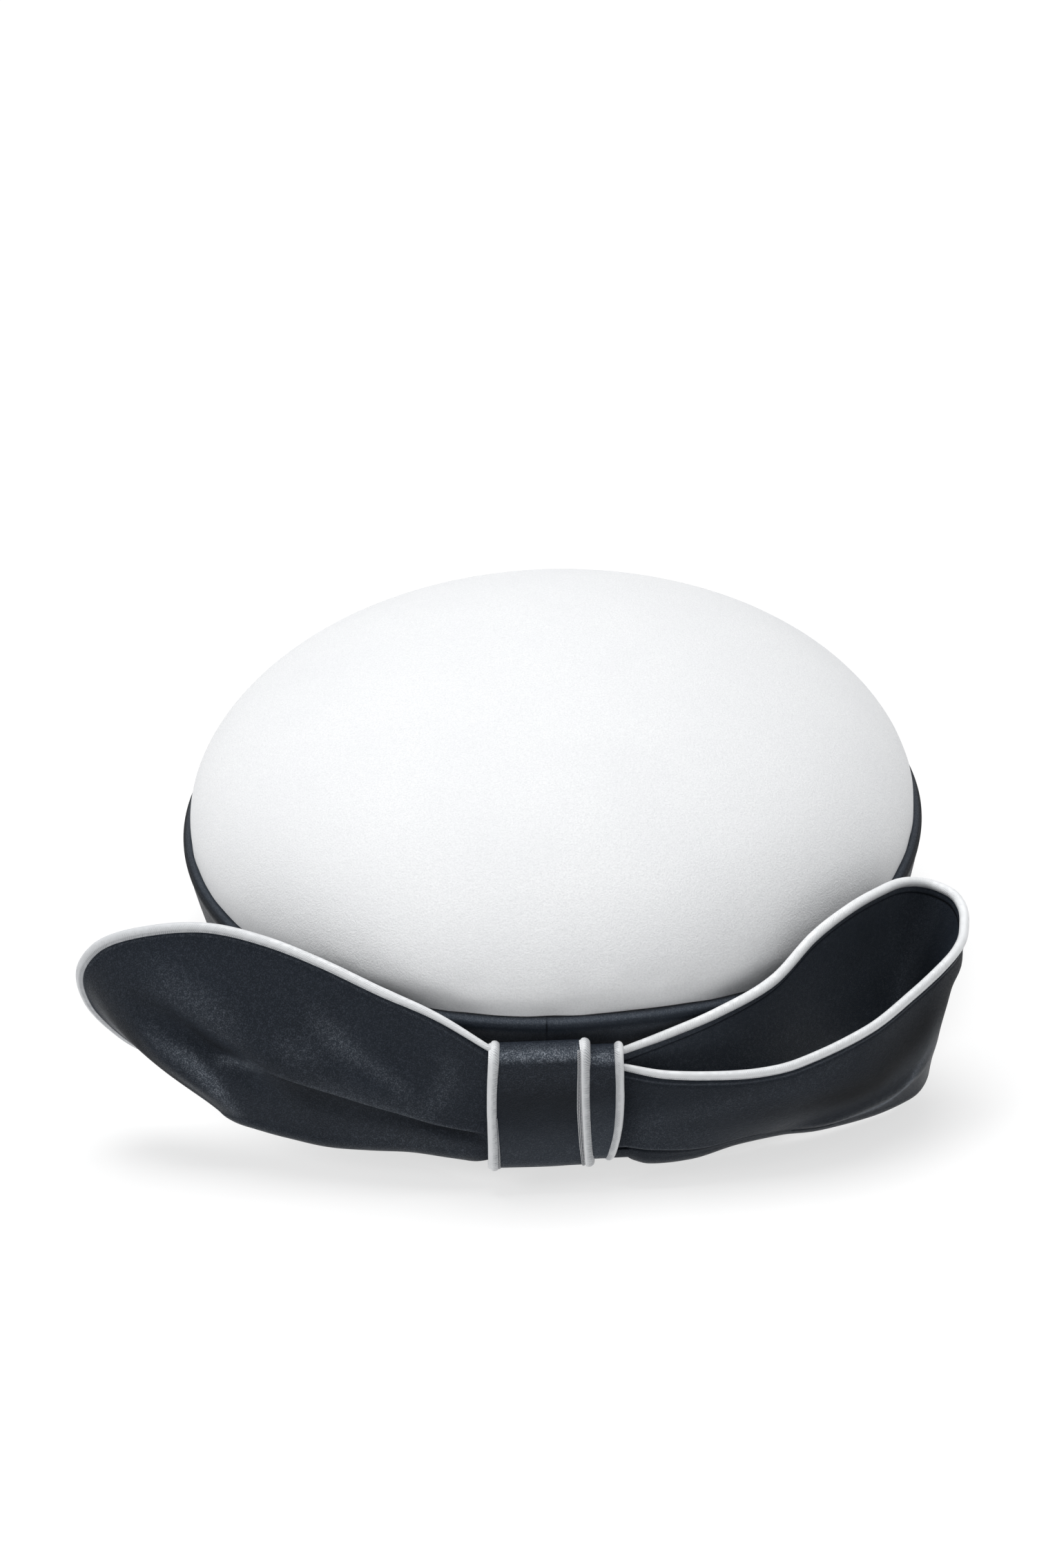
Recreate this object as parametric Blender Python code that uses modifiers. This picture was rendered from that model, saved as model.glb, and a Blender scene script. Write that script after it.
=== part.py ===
"""Pillbox hat: a domed pale crown on a dark side band, with a piped bow on its front.

Metres, +Z up. The rim lies in the plane z = 0 and the origin is the middle of the head
opening. The front of the hat, with the bow, looks along -Y, and +X is to its right as
seen from the front.
"""
import math
from collections import namedtuple

import bmesh
import bpy
from mathutils import Matrix, Vector

# Crown, measured to its outer face
SEAM_HALF_WIDTH = 0.097
SEAM_HALF_LENGTH = 0.105
CROWN_RISE = 0.0465
CROWN_WALL = 0.0020

# Side band, from the rim up to the seam under the crown
SIDE_HEIGHT = 0.048
SIDE_WALL = 0.0020
SHOULDER_BULGE = 0.0015
RIM_TUCK = 0.0087

# Knot: the wrap round the middle of the bow
KNOT_LIFT = 0.0067
KNOT_HEIGHT = 0.0375
KNOT_DEPTH = 0.0082
KNOT_CLOTH = 0.0013
KNOT_LEAN = 0.0024
KNOT_SHIFT = -0.0013
KNOT_STRAY = 0.0046
WRAP_WIDTH = 0.0192
UNDER_WRAP_WIDTH = 0.0054
UNDER_WRAP_INSET = 0.0017

# Bow loops: lengths are measured along the side band from the centre front
BOW_CLOTH = 0.0016
LEFT_REACH = 0.106
LEFT_SPREAD = 0.039
RIGHT_REACH = 0.108
RIGHT_SPREAD = 0.0255
FULLNESS = 0.0030
PLEAT_DEPTH = 0.0022

# Cloth turned under at the foot of a loop: its length, how far round it goes, and the
# share of that length still left where it is not turned at all
TURN_LENGTH = 0.0105
TURN_ANGLE = math.radians(150.0)
LEAST_TURN = 0.15

# Piping: half its thickness, and how far it stands out from the knot's cloth
LOOP_PIPING = 0.0013
LEFT_KNOT_PIPING = 0.00125
MIDDLE_KNOT_PIPING = 0.00145
RIGHT_KNOT_PIPING = 0.00105
PIPING_PROUD = 0.0006

# Clearances
GAP = 0.0003
PIPING_GAP = 0.0005
LAYER_GAP = 0.0008
CORD_SETBACK = 0.0009

# Facets
ROUND_SEGMENTS = 60
CROWN_RINGS = 9
LOOP_STEP = 0.0048
PANEL_STEPS = 5
TURN_STEPS = 4
BEND_STEPS = 5
BAR_STEPS = 4
CREASE_STEP = 0.05
FLAT_TOLERANCE = 1e-4
SHARP_ANGLE = math.radians(40.0)

# Outer face of the side band from the seam down to the rim: height as a share of
# SIDE_HEIGHT, then how much of SHOULDER_BULGE and of RIM_TUCK has set in there.
Level = namedtuple("Level", "height bulge tuck")
SIDE_LEVELS = (
    Level(1.00, 0.20, 0.00),
    Level(0.98, 0.85, 0.00),
    Level(0.92, 1.00, 0.02),
    Level(0.75, 0.70, 0.18),
    Level(0.50, 0.30, 0.44),
    Level(0.25, 0.10, 0.72),
    Level(0.00, 0.00, 1.00),
)

# One section across a bow loop, from the rim, which carries the piping, to the foot,
# where the cloth turns under. along is a share of the loop's reach past the knot, out
# of its spread, and up of KNOT_HEIGHT over KNOT_LIFT. belly is a share of FULLNESS and
# turn of TURN_ANGLE. The pleat lies at crease, a share of the section, and is tuck
# times PLEAT_DEPTH deep.
Section = namedtuple(
    "Section", "rim_along rim_out rim_up foot_along foot_out foot_up belly turn crease tuck"
)
LEFT_FRONT = (
    Section(0.00, 0.00, 0.98, 0.00, 0.00, 0.11, 0.0, 0.0, 0.80, 0.1),
    Section(0.15, 0.00, 1.17, 0.13, 0.00, 0.12, 0.3, 0.6, 0.76, 1.0),
    Section(0.32, 0.02, 1.31, 0.25, 0.03, 0.13, 0.6, 0.9, 0.72, 0.9),
    Section(0.48, 0.08, 1.44, 0.36, 0.11, 0.13, 1.0, 1.0, 0.69, 0.7),
    Section(0.63, 0.20, 1.54, 0.47, 0.22, 0.15, 1.2, 1.0, 0.66, 0.4),
    Section(0.76, 0.39, 1.59, 0.57, 0.34, 0.21, 1.3, 1.0, 0.64, 0.0),
    Section(0.86, 0.64, 1.55, 0.65, 0.45, 0.24, 1.4, 0.9, 0.64, 0.0),
    Section(0.94, 0.89, 1.42, 0.70, 0.51, 0.23, 1.4, 0.8, 0.64, 0.0),
    Section(0.98, 1.00, 1.19, 0.71, 0.51, 0.24, 1.3, 0.6, 0.64, 0.0),
)
LEFT_BACK = (
    Section(1.00, 1.00, 0.87, 0.71, 0.49, 0.25, 0.8, 0.5, 0.64, 0.0),
    Section(0.98, 0.88, 0.66, 0.70, 0.45, 0.25, 0.4, 0.4, 0.64, 0.0),
    Section(0.95, 0.71, 0.48, 0.69, 0.40, 0.25, 0.2, 0.4, 0.64, 0.0),
    Section(0.91, 0.57, 0.46, 0.66, 0.33, 0.25, 0.1, 0.4, 0.64, 0.0),
    Section(0.85, 0.40, 0.50, 0.61, 0.23, 0.23, 0.0, 0.4, 0.64, 0.0),
    Section(0.68, 0.13, 0.61, 0.49, 0.10, 0.23, 0.0, 0.4, 0.64, 0.0),
    Section(0.46, 0.01, 0.71, 0.33, 0.04, 0.24, 0.0, 0.3, 0.64, 0.0),
    Section(0.24, 0.00, 0.78, 0.19, 0.00, 0.24, 0.0, 0.2, 0.64, 0.0),
    Section(0.00, 0.00, 0.83, 0.00, 0.00, 0.22, 0.0, 0.0, 0.64, 0.0),
)
RIGHT_FRONT = (
    Section(0.00, 0.00, 0.78, 0.00, 0.00, 0.17, 0.0, 0.0, 0.86, 0.0),
    Section(0.09, 0.16, 0.74, 0.06, 0.03, 0.045, 0.2, 0.7, 0.84, 0.8),
    Section(0.21, 0.30, 0.71, 0.18, 0.08, 0.03, 0.5, 0.9, 0.84, 0.8),
    Section(0.32, 0.45, 0.70, 0.30, 0.15, 0.07, 0.7, 0.9, 0.88, 0.4),
    Section(0.45, 0.62, 0.76, 0.42, 0.28, 0.08, 0.9, 1.0, 0.90, 0.0),
    Section(0.58, 0.80, 0.91, 0.54, 0.43, 0.06, 1.0, 1.0, 0.90, 0.0),
    Section(0.69, 0.91, 1.04, 0.66, 0.56, 0.04, 1.0, 1.0, 0.90, 0.0),
    Section(0.79, 0.98, 1.10, 0.75, 0.66, 0.04, 0.8, 1.0, 0.90, 0.0),
    Section(0.88, 0.93, 1.13, 0.80, 0.67, 0.05, 0.1, 1.0, 0.90, 0.0),
    Section(0.94, 0.83, 1.14, 0.84, 0.61, 0.09, -0.4, 0.9, 0.90, 0.0),
)
RIGHT_BACK = (
    Section(0.98, 0.76, 1.15, 0.86, 0.51, 0.12, -0.5, 0.8, 0.90, 0.0),
    Section(1.00, 0.61, 1.21, 0.87, 0.33, 0.14, -0.3, 0.6, 0.90, 0.0),
    Section(0.99, 0.36, 1.30, 0.87, 0.15, 0.14, 0.0, 0.4, 0.90, 0.0),
    Section(0.87, 0.10, 1.36, 0.81, 0.05, 0.14, 0.0, 0.3, 0.90, 0.0),
    Section(0.72, 0.05, 1.39, 0.68, 0.02, 0.15, 0.0, 0.2, 0.90, 0.0),
    Section(0.59, 0.05, 1.33, 0.57, 0.02, 0.16, 0.0, 0.2, 0.90, 0.0),
    Section(0.44, 0.06, 1.14, 0.43, 0.02, 0.18, 0.0, 0.2, 0.90, 0.0),
    Section(0.27, 0.04, 1.03, 0.27, 0.01, 0.20, 0.0, 0.2, 0.90, 0.0),
    Section(0.12, 0.01, 0.94, 0.12, 0.00, 0.22, 0.0, 0.1, 0.90, 0.0),
    Section(0.00, 0.00, 0.88, 0.00, 0.00, 0.22, 0.0, 0.0, 0.90, 0.0),
)

# How a knot edge strays towards -X on its way down, in shares of KNOT_STRAY: swing is how
# far it bows out half way, drift how far off it is at the bottom, and DRIFT_POWER says how
# late the drift sets in.
Sway = namedtuple("Sway", "swing drift")
LEFT_SWAY = Sway(0.28, 0.37)
MIDDLE_SWAY = Sway(0.09, 0.00)
RIGHT_SWAY = Sway(0.00, 1.00)
DRIFT_POWER = 4.0
PIPING_OVERREACH = math.radians(35.0)

Edge = namedtuple("Edge", "place sway")


def make_material(name, color, roughness):
    """A plain cloth finish."""
    material = bpy.data.materials.new(name)
    material.use_nodes = True
    shader = material.node_tree.nodes["Principled BSDF"]
    shader.inputs["Base Color"].default_value = (*color, 1.0)
    shader.inputs["Roughness"].default_value = roughness
    shader.inputs["Metallic"].default_value = 0.0
    material.diffuse_color = (*color, 1.0)
    return material


def crown_material():
    return make_material("crown_satin", (0.84, 0.85, 0.86), 0.62)


def dark_material():
    return make_material("dark_satin", (0.020, 0.023, 0.030), 0.58)


def piping_material():
    return make_material("white_piping", (0.86, 0.87, 0.89), 0.45)


def add_object(name, mesh, material, collection):
    obj = bpy.data.objects.new(name, mesh)
    obj.data.materials.append(material)
    collection.objects.link(obj)
    return obj


def shade(mesh):
    mesh.shade_smooth()
    mesh.set_sharp_from_angle(angle=SHARP_ANGLE)


def loft(name, rings, across_closed, along_closed):
    """Skins equal rows of points with quads; either way round can close on itself."""
    bm = bmesh.new()
    grid = [[bm.verts.new(point) for point in ring] for ring in rings]
    rows = len(grid)
    columns = len(grid[0])
    for i in range(rows if along_closed else rows - 1):
        for j in range(columns if across_closed else columns - 1):
            here = grid[i]
            there = grid[(i + 1) % rows]
            k = (j + 1) % columns
            bm.faces.new((here[j], here[k], there[k], there[j]))
    bmesh.ops.recalc_face_normals(bm, faces=bm.faces)
    mesh = bpy.data.meshes.new(name)
    bm.to_mesh(mesh)
    bm.free()
    shade(mesh)
    return mesh


def hat_point(along, out, up):
    """A point by its distance along the seam from centre front, out from it, and up."""
    angle = along * 2.0 / (SEAM_HALF_WIDTH + SEAM_HALF_LENGTH)
    x = (SEAM_HALF_WIDTH + out) * math.sin(angle)
    y = -(SEAM_HALF_LENGTH + out) * math.cos(angle)
    return Vector((x, y, up))


def hat_ring(out, up):
    """A closed ring round the hat at one height."""
    ring = []
    for i in range(ROUND_SEGMENTS):
        angle = 2.0 * math.pi * i / ROUND_SEGMENTS
        x = (SEAM_HALF_WIDTH + out) * math.cos(angle)
        y = (SEAM_HALF_LENGTH + out) * math.sin(angle)
        ring.append(Vector((x, y, up)))
    return ring


def make_crown(collection, material):
    """The domed top: half an ellipsoid inside another, joined along a flat rim."""
    bm = bmesh.new()
    rims = []
    for inset in (0.0, CROWN_WALL):
        ball = bmesh.ops.create_uvsphere(
            bm, u_segments=ROUND_SEGMENTS, v_segments=2 * CROWN_RINGS, radius=1.0
        )["verts"]
        below = [vert for vert in ball if vert.co.z < -FLAT_TOLERANCE]
        above = [vert for vert in ball if vert.co.z >= -FLAT_TOLERANCE]
        bmesh.ops.delete(bm, geom=below, context="VERTS")
        rim = [vert for vert in above if vert.co.z < FLAT_TOLERANCE]
        rims.append(sorted(rim, key=lambda vert: math.atan2(vert.co.y, vert.co.x)))
        size = Vector((SEAM_HALF_WIDTH, SEAM_HALF_LENGTH, CROWN_RISE)) - Vector([inset] * 3)
        bmesh.ops.transform(bm, matrix=Matrix.Diagonal(size).to_4x4(), verts=above)
    outer, inner = rims
    for i, j in zip(range(ROUND_SEGMENTS), (*range(1, ROUND_SEGMENTS), 0)):
        bm.faces.new((outer[i], outer[j], inner[j], inner[i]))
    bmesh.ops.recalc_face_normals(bm, faces=bm.faces)
    mesh = bpy.data.meshes.new("crown")
    bm.to_mesh(mesh)
    bm.free()
    shade(mesh)
    crown = add_object("crown", mesh, material, collection)
    crown.location.z = SIDE_HEIGHT + GAP


def side_profile():
    """The side band's outer face from the seam down, as distances out and heights."""
    return [
        (level.bulge * SHOULDER_BULGE - level.tuck * RIM_TUCK, level.height * SIDE_HEIGHT)
        for level in SIDE_LEVELS
    ]


def side_out(height):
    """How far out from the seam the side band's outer face lies at a height."""
    outer = side_profile()
    for (out_above, above), (out_below, below) in zip(outer, outer[1:]):
        if height >= below:
            share = (height - below) / (above - below)
            return out_below + share * (out_above - out_below)
    return outer[-1][0]


def make_side_band(collection, material):
    """The upright band: its outer face down to the flat rim, then its inner face up."""
    outer = side_profile()
    inner = [(out - SIDE_WALL, up) for out, up in reversed(outer)]
    rings = [hat_ring(out, up) for out, up in outer + inner]
    mesh = loft("side_band", rings, across_closed=True, along_closed=True)
    add_object("side_band", mesh, material, collection)


def spaced_rows(rows, knots, step):
    """Rows read from a smooth curve through the given rows, about a step apart."""
    last = len(rows) - 1
    slopes = []
    for i in range(last + 1):
        before = max(i - 1, 0)
        after = min(i + 1, last)
        span = knots[after] - knots[before]
        slopes.append([(b - a) / span for a, b in zip(rows[before], rows[after])])
    spaced = []
    for i in range(last):
        length = knots[i + 1] - knots[i]
        count = max(1, round(length / step))
        for k in range(count):
            t = k / count
            start = 1.0 - t * t * (3.0 - 2.0 * t)
            leave = t * (1.0 - t) ** 2 * length
            arrive = t * t * (t - 1.0) * length
            spaced.append([
                start * a + (1.0 - start) * b + leave * m + arrive * n
                for a, b, m, n in zip(rows[i], rows[i + 1], slopes[i], slopes[i + 1])
            ])
    spaced.append(list(rows[last]))
    return spaced


def knot_lean(height):
    """How far the knot has leaned in towards the hat at a height above the rim."""
    return KNOT_LEAN * (1.0 - (height - KNOT_LIFT) / KNOT_HEIGHT)


def knot_back_out():
    """How far out from the seam the upright back of the knot lies, clear of the band."""
    high = KNOT_LIFT + KNOT_HEIGHT - KNOT_DEPTH / 2.0
    return side_out(high) + GAP + knot_lean(high)


def back_layer_out():
    """How far out from the seam the back layer of the bow lies inside the knot."""
    return knot_back_out() + KNOT_CLOTH + GAP + BOW_CLOTH / 2.0


def front_layer_out():
    return back_layer_out() + BOW_CLOTH + LAYER_GAP


def knot_half_width():
    """Half the knot's width: two wraps and three cords, with a gap between neighbours."""
    cords = [2.0 * half for half in (LEFT_KNOT_PIPING, MIDDLE_KNOT_PIPING, RIGHT_KNOT_PIPING)]
    strips = [WRAP_WIDTH, UNDER_WRAP_WIDTH, *cords]
    return (sum(strips) + (len(strips) - 1) * GAP) / 2.0


def place_section(section, side, reach, spread, layer_out):
    """The section's rim and foot in space, followed by its plain numbers."""
    start = knot_half_width() + side * KNOT_SHIFT + GAP
    row = []
    for along, out, up in (
        (section.rim_along, section.rim_out, section.rim_up),
        (section.foot_along, section.foot_out, section.foot_up),
    ):
        height = KNOT_LIFT + up * KNOT_HEIGHT
        if along > 0.0:
            distance = side * (start + along * (reach - start))
            row.extend(hat_point(distance, layer_out + out * spread, height))
        else:
            front = SEAM_HALF_LENGTH + layer_out - knot_lean(height)
            row.extend((side * start, -front, height))
    row.extend((section.belly, section.turn, section.crease, section.tuck))
    return row


def loop_rows(side, reach, spread, front, back):
    """The whole loop as rows: out along the front layer, round the tip and back."""
    rows = [place_section(s, side, reach, spread, front_layer_out()) for s in front]
    rows += [place_section(s, side, reach, spread, back_layer_out()) for s in back]
    knots = [0.0]
    for before, after in zip(rows, rows[1:]):
        knots.append(knots[-1] + (Vector(after[:3]) - Vector(before[:3])).length)
    return spaced_rows(rows, knots, LOOP_STEP)


def section_shares(crease):
    """Where the mesh has points across a section, with a pair on the pleat's edge."""
    upper = [crease * i / PANEL_STEPS for i in range(PANEL_STEPS + 1)]
    below = crease + CREASE_STEP
    lower = [below, (below + 1.0) / 2.0, 1.0]
    return upper + lower


def section_points(row, side, along):
    """The cloth's middle line across the loop at one row."""
    rim = Vector(row[0:3])
    foot = Vector(row[3:6])
    belly, turn, crease, tuck = row[6:10]
    across = (foot - rim).normalized()
    outward = (along.cross(across) * -side).normalized()
    beside = (across - along * across.dot(along)).normalized()
    edge = rim + beside * (LOOP_PIPING + PIPING_GAP)
    points = []
    for share in section_shares(crease):
        bulge = belly * FULLNESS * math.sin(math.pi * share)
        if share <= crease:
            bulge += tuck * PLEAT_DEPTH * (share / crease) ** 2
        points.append(edge.lerp(foot, share) + outward * bulge)
    stride = TURN_LENGTH * (LEAST_TURN + (1.0 - LEAST_TURN) * turn) / TURN_STEPS
    for i in range(TURN_STEPS):
        angle = TURN_ANGLE * turn * (i + 0.5) / TURN_STEPS
        step = across * math.cos(angle) - outward * math.sin(angle)
        points.append(points[-1] + step * stride)
    return points


def directions(rows):
    """The way the rim runs at each row."""
    rims = [Vector(row[:3]) for row in rows]
    last = len(rims) - 1
    return [
        (rims[min(i + 1, last)] - rims[max(i - 1, 0)]).normalized() for i in range(last + 1)
    ]


def into_knot(points, side):
    """The same section moved along the bow to the middle of the knot."""
    target = side * GAP + KNOT_SHIFT
    return [Vector((target, point.y, point.z)) for point in points]


def make_loop(name, side, rows, collection, material):
    """One loop of the bow as thick cloth, with both ends running into the knot."""
    grid = []
    for row, along in zip(rows, directions(rows)):
        grid.append(section_points(row, side, along))
    grid.insert(0, into_knot(grid[0], side))
    grid.append(into_knot(grid[-1], side))
    mesh = loft(name, grid, across_closed=False, along_closed=False)
    loop = add_object(name, mesh, material, collection)
    solidify = loop.modifiers.new("Solidify", "SOLIDIFY")
    solidify.thickness = BOW_CLOTH
    solidify.offset = 0.0
    solidify.use_even_offset = False


def make_piping(name, points, radius, collection, material):
    """A round cord along the given points, closed at both ends."""
    curve = bpy.data.curves.new(name, "CURVE")
    curve.dimensions = "3D"
    curve.bevel_depth = radius
    curve.bevel_resolution = 2
    curve.use_fill_caps = True
    spline = curve.splines.new("POLY")
    spline.points.add(len(points) - 1)
    for place, point in zip(spline.points, points):
        place.co = (*point, 1.0)
    spline.use_smooth = True
    add_object(name, curve, material, collection)


def knot_frame(inset):
    """The middles of the knot's top and bottom bends, and its two directions."""
    radius = KNOT_DEPTH / 2.0
    depth = SEAM_HALF_LENGTH + knot_back_out() + radius
    low = KNOT_LIFT + inset + radius
    high = KNOT_LIFT + KNOT_HEIGHT - inset - radius
    top = Vector((0.0, knot_lean(high) - depth, high))
    bottom = Vector((0.0, knot_lean(low) - depth, low))
    rise = (top - bottom).normalized()
    back = Vector((0.0, rise.z, -rise.y))
    return top, bottom, rise, back


def edge_x(edge, height):
    """Where a knot edge lies at a height above the rim."""
    fall = min(max(1.0 - (height - KNOT_LIFT) / KNOT_HEIGHT, 0.0), 1.0)
    swing = edge.sway.swing * math.sin(math.pi * fall)
    drift = edge.sway.drift * fall ** DRIFT_POWER
    return edge.place - KNOT_STRAY * (swing + drift)


def knot_path(edge, inset, radius, overreach):
    """Points round the knot at one edge: down its front, or all round it."""
    top, bottom, rise, back = knot_frame(inset)
    first = math.pi / 2.0 - overreach
    points = []
    for centre, begin, end in (
        (top, first, math.pi),
        (bottom, math.pi, 2.0 * math.pi - first),
    ):
        for i in range(BEND_STEPS + 1):
            angle = begin + (end - begin) * i / BEND_STEPS
            points.append(centre + radius * (math.cos(angle) * back + math.sin(angle) * rise))
        if centre is top:
            front_top = points[-1]
            front_bottom = bottom - radius * back
            for i in range(1, BAR_STEPS):
                points.append(front_top.lerp(front_bottom, i / BAR_STEPS))
    for point in points:
        point.x = edge_x(edge, point.z)
    return points


def make_knot_panel(name, left, right, inset, collection, material):
    """A band of cloth all round the bow's middle, between two edges."""
    outer = KNOT_DEPTH / 2.0
    inner = outer - KNOT_CLOTH
    all_round = math.pi / 2.0
    rings = [
        knot_path(edge, inset, radius, all_round)
        for edge, radius in ((left, outer), (right, outer), (right, inner), (left, inner))
    ]
    mesh = loft(name, rings, across_closed=True, along_closed=True)
    add_object(name, mesh, material, collection)


def make_knot(collection, cloth, piping):
    """The two wraps of the knot, side by side, and the three cords that edge them."""
    place = KNOT_SHIFT - knot_half_width() + LEFT_KNOT_PIPING
    left_cord = Edge(place, LEFT_SWAY)
    place += LEFT_KNOT_PIPING + GAP
    wrap_left = Edge(place, LEFT_SWAY)
    place += WRAP_WIDTH
    wrap_right = Edge(place, MIDDLE_SWAY)
    place += GAP + MIDDLE_KNOT_PIPING
    middle_cord = Edge(place, MIDDLE_SWAY)
    place += MIDDLE_KNOT_PIPING + GAP
    under_left = Edge(place, MIDDLE_SWAY)
    place += UNDER_WRAP_WIDTH
    under_right = Edge(place, RIGHT_SWAY)
    place += GAP + RIGHT_KNOT_PIPING
    right_cord = Edge(place, RIGHT_SWAY)

    make_knot_panel("knot_wrap", wrap_left, wrap_right, 0.0, collection, cloth)
    make_knot_panel(
        "knot_under_wrap", under_left, under_right, UNDER_WRAP_INSET, collection, cloth
    )
    proud = KNOT_DEPTH / 2.0 + PIPING_PROUD
    for name, edge, inset, radius in (
        ("knot_piping_left", left_cord, 0.0, LEFT_KNOT_PIPING),
        ("knot_piping_middle", middle_cord, 0.0, MIDDLE_KNOT_PIPING),
        ("knot_piping_right", right_cord, UNDER_WRAP_INSET, RIGHT_KNOT_PIPING),
    ):
        points = knot_path(edge, inset, proud - radius, PIPING_OVERREACH)
        make_piping(name, points, radius, collection, piping)


def make_bow(collection, cloth, piping):
    for name, side, reach, spread, front, back in (
        ("left", -1.0, LEFT_REACH, LEFT_SPREAD, LEFT_FRONT, LEFT_BACK),
        ("right", 1.0, RIGHT_REACH, RIGHT_SPREAD, RIGHT_FRONT, RIGHT_BACK),
    ):
        rows = loop_rows(side, reach, spread, front, back)
        make_loop(f"bow_loop_{name}", side, rows, collection, cloth)
        rims = [Vector(row[:3]) for row in rows]
        rims[0] += (rims[1] - rims[0]).normalized() * CORD_SETBACK
        rims[-1] += (rims[-2] - rims[-1]).normalized() * CORD_SETBACK
        make_piping(f"loop_piping_{name}", rims, LOOP_PIPING, collection, piping)
    make_knot(collection, cloth, piping)


def main():
    for obj in list(bpy.data.objects):
        bpy.data.objects.remove(obj, do_unlink=True)
    collection = bpy.data.collections.new("pillbox_hat")
    bpy.context.scene.collection.children.link(collection)
    dark = dark_material()
    make_crown(collection, crown_material())
    make_side_band(collection, dark)
    make_bow(collection, dark, piping_material())


main()
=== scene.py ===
"""Dresses the pillbox hat: finer cloth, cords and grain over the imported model.

Metres, +Z up, the front of the hat towards -Y, the rim on the floor at z = 0.
"""
import math
from collections import namedtuple

import bpy
import numpy as np
from mathutils import Matrix, Vector


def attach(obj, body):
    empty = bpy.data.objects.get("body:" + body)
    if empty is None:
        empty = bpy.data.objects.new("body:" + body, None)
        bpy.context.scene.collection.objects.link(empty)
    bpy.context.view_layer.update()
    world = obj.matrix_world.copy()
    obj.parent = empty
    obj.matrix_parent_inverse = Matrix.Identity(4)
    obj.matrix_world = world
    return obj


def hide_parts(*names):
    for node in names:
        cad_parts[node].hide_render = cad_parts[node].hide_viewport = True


# The hat's own sizes, as in the model's source
SEAM_HALF_WIDTH = 0.097
SEAM_HALF_LENGTH = 0.105
CROWN_RISE = 0.0465
CROWN_WALL = 0.0020
SIDE_HEIGHT = 0.048
SIDE_WALL = 0.0020
SHOULDER_BULGE = 0.0015
RIM_TUCK = 0.0087
KNOT_LIFT = 0.0067
KNOT_HEIGHT = 0.0375
KNOT_DEPTH = 0.0082
KNOT_CLOTH = 0.0013
KNOT_LEAN = 0.0024
KNOT_SHIFT = -0.0013
KNOT_STRAY = 0.0046
WRAP_WIDTH = 0.0192
UNDER_WRAP_WIDTH = 0.0054
UNDER_WRAP_INSET = 0.0017
BOW_CLOTH = 0.0016
LEFT_REACH = 0.106
LEFT_SPREAD = 0.039
RIGHT_REACH = 0.108
RIGHT_SPREAD = 0.0255
FULLNESS = 0.0030
PLEAT_DEPTH = 0.0022
TURN_LENGTH = 0.0105
TURN_ANGLE = math.radians(150.0)
LEAST_TURN = 0.15
LOOP_PIPING = 0.0013
LEFT_KNOT_PIPING = 0.00125
MIDDLE_KNOT_PIPING = 0.00145
RIGHT_KNOT_PIPING = 0.00105
PIPING_PROUD = 0.0006
GAP = 0.0003
LAYER_GAP = 0.0008

# Finer cloth of the dressed bow
CLOTH = 0.0010
CLOTH_ROUNDING = 0.0005
PLEAT_CLOTH = 0.0007
PLEAT_OVERLAP = 0.0028
PLEAT_RECESS = 0.0014
WRAP_ROUNDING = 0.0006
WRAP_TUCK = 0.0009
WRAP_COLUMNS = 36
FLANGE_CLOTH = 0.00016
FLANGE_ARCH = 0.00016
FLANGE_COLUMNS = 12
ROW_STEP = 0.0010

# Crown: its edge rolls in above the seam, small puckers gather there, and behind the right
# loop the seam hangs down
CROWN_COLUMNS = 360
CROWN_RINGS = 100
CROWN_INNER_RINGS = 32
CROWN_CROWDING = 1.35
POLE_GAP = 0.012
EDGE_ROLL = 0.0013
EDGE_ROLL_RISE = 0.0088
PUCKER_LENGTH = 0.0070
PUCKER_REACH = 0.010
PUCKER_RISE = 0.0045
PUCKER_HEIGHT = 0.00034
SEAM_SAG = 0.0045
SAG_TURN = math.radians(310.0)
SAG_SPREAD = math.radians(20.0)
SAG_FADE = 0.6

# Side band: its soft waves, and the notch where its two ends are joined in front
BAND_COLUMNS = 320
BAND_STEPS = 70
BAND_WAVES = 26.0
BAND_WAVE_HEIGHT = 0.00022
NOTCH_TURN = 1.5 * math.pi - 0.0355
NOTCH_SPREAD = 0.0018
NOTCH_DEPTH = 0.00030
NOTCH_STEPS = np.array([-0.0052, -0.0034, -0.0020, -0.0008, 0.0004, 0.0018, 0.0034, 0.0052])

# The band's outline: shares of the height, of SHOULDER_BULGE and of RIM_TUCK
SIDE_LEVELS = (
    (1.00, -0.50, 0.00),
    (0.997, 0.05, 0.00),
    (0.985, 0.80, 0.00),
    (0.965, 1.12, 0.00),
    (0.940, 1.10, 0.01),
    (0.905, 0.86, 0.03),
    (0.86, 0.78, 0.06),
    (0.75, 0.70, 0.18),
    (0.50, 0.30, 0.44),
    (0.25, 0.10, 0.72),
    (0.04, 0.00, 0.96),
    (0.01, -0.15, 0.99),
    (0.00, -0.55, 1.00),
)

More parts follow.
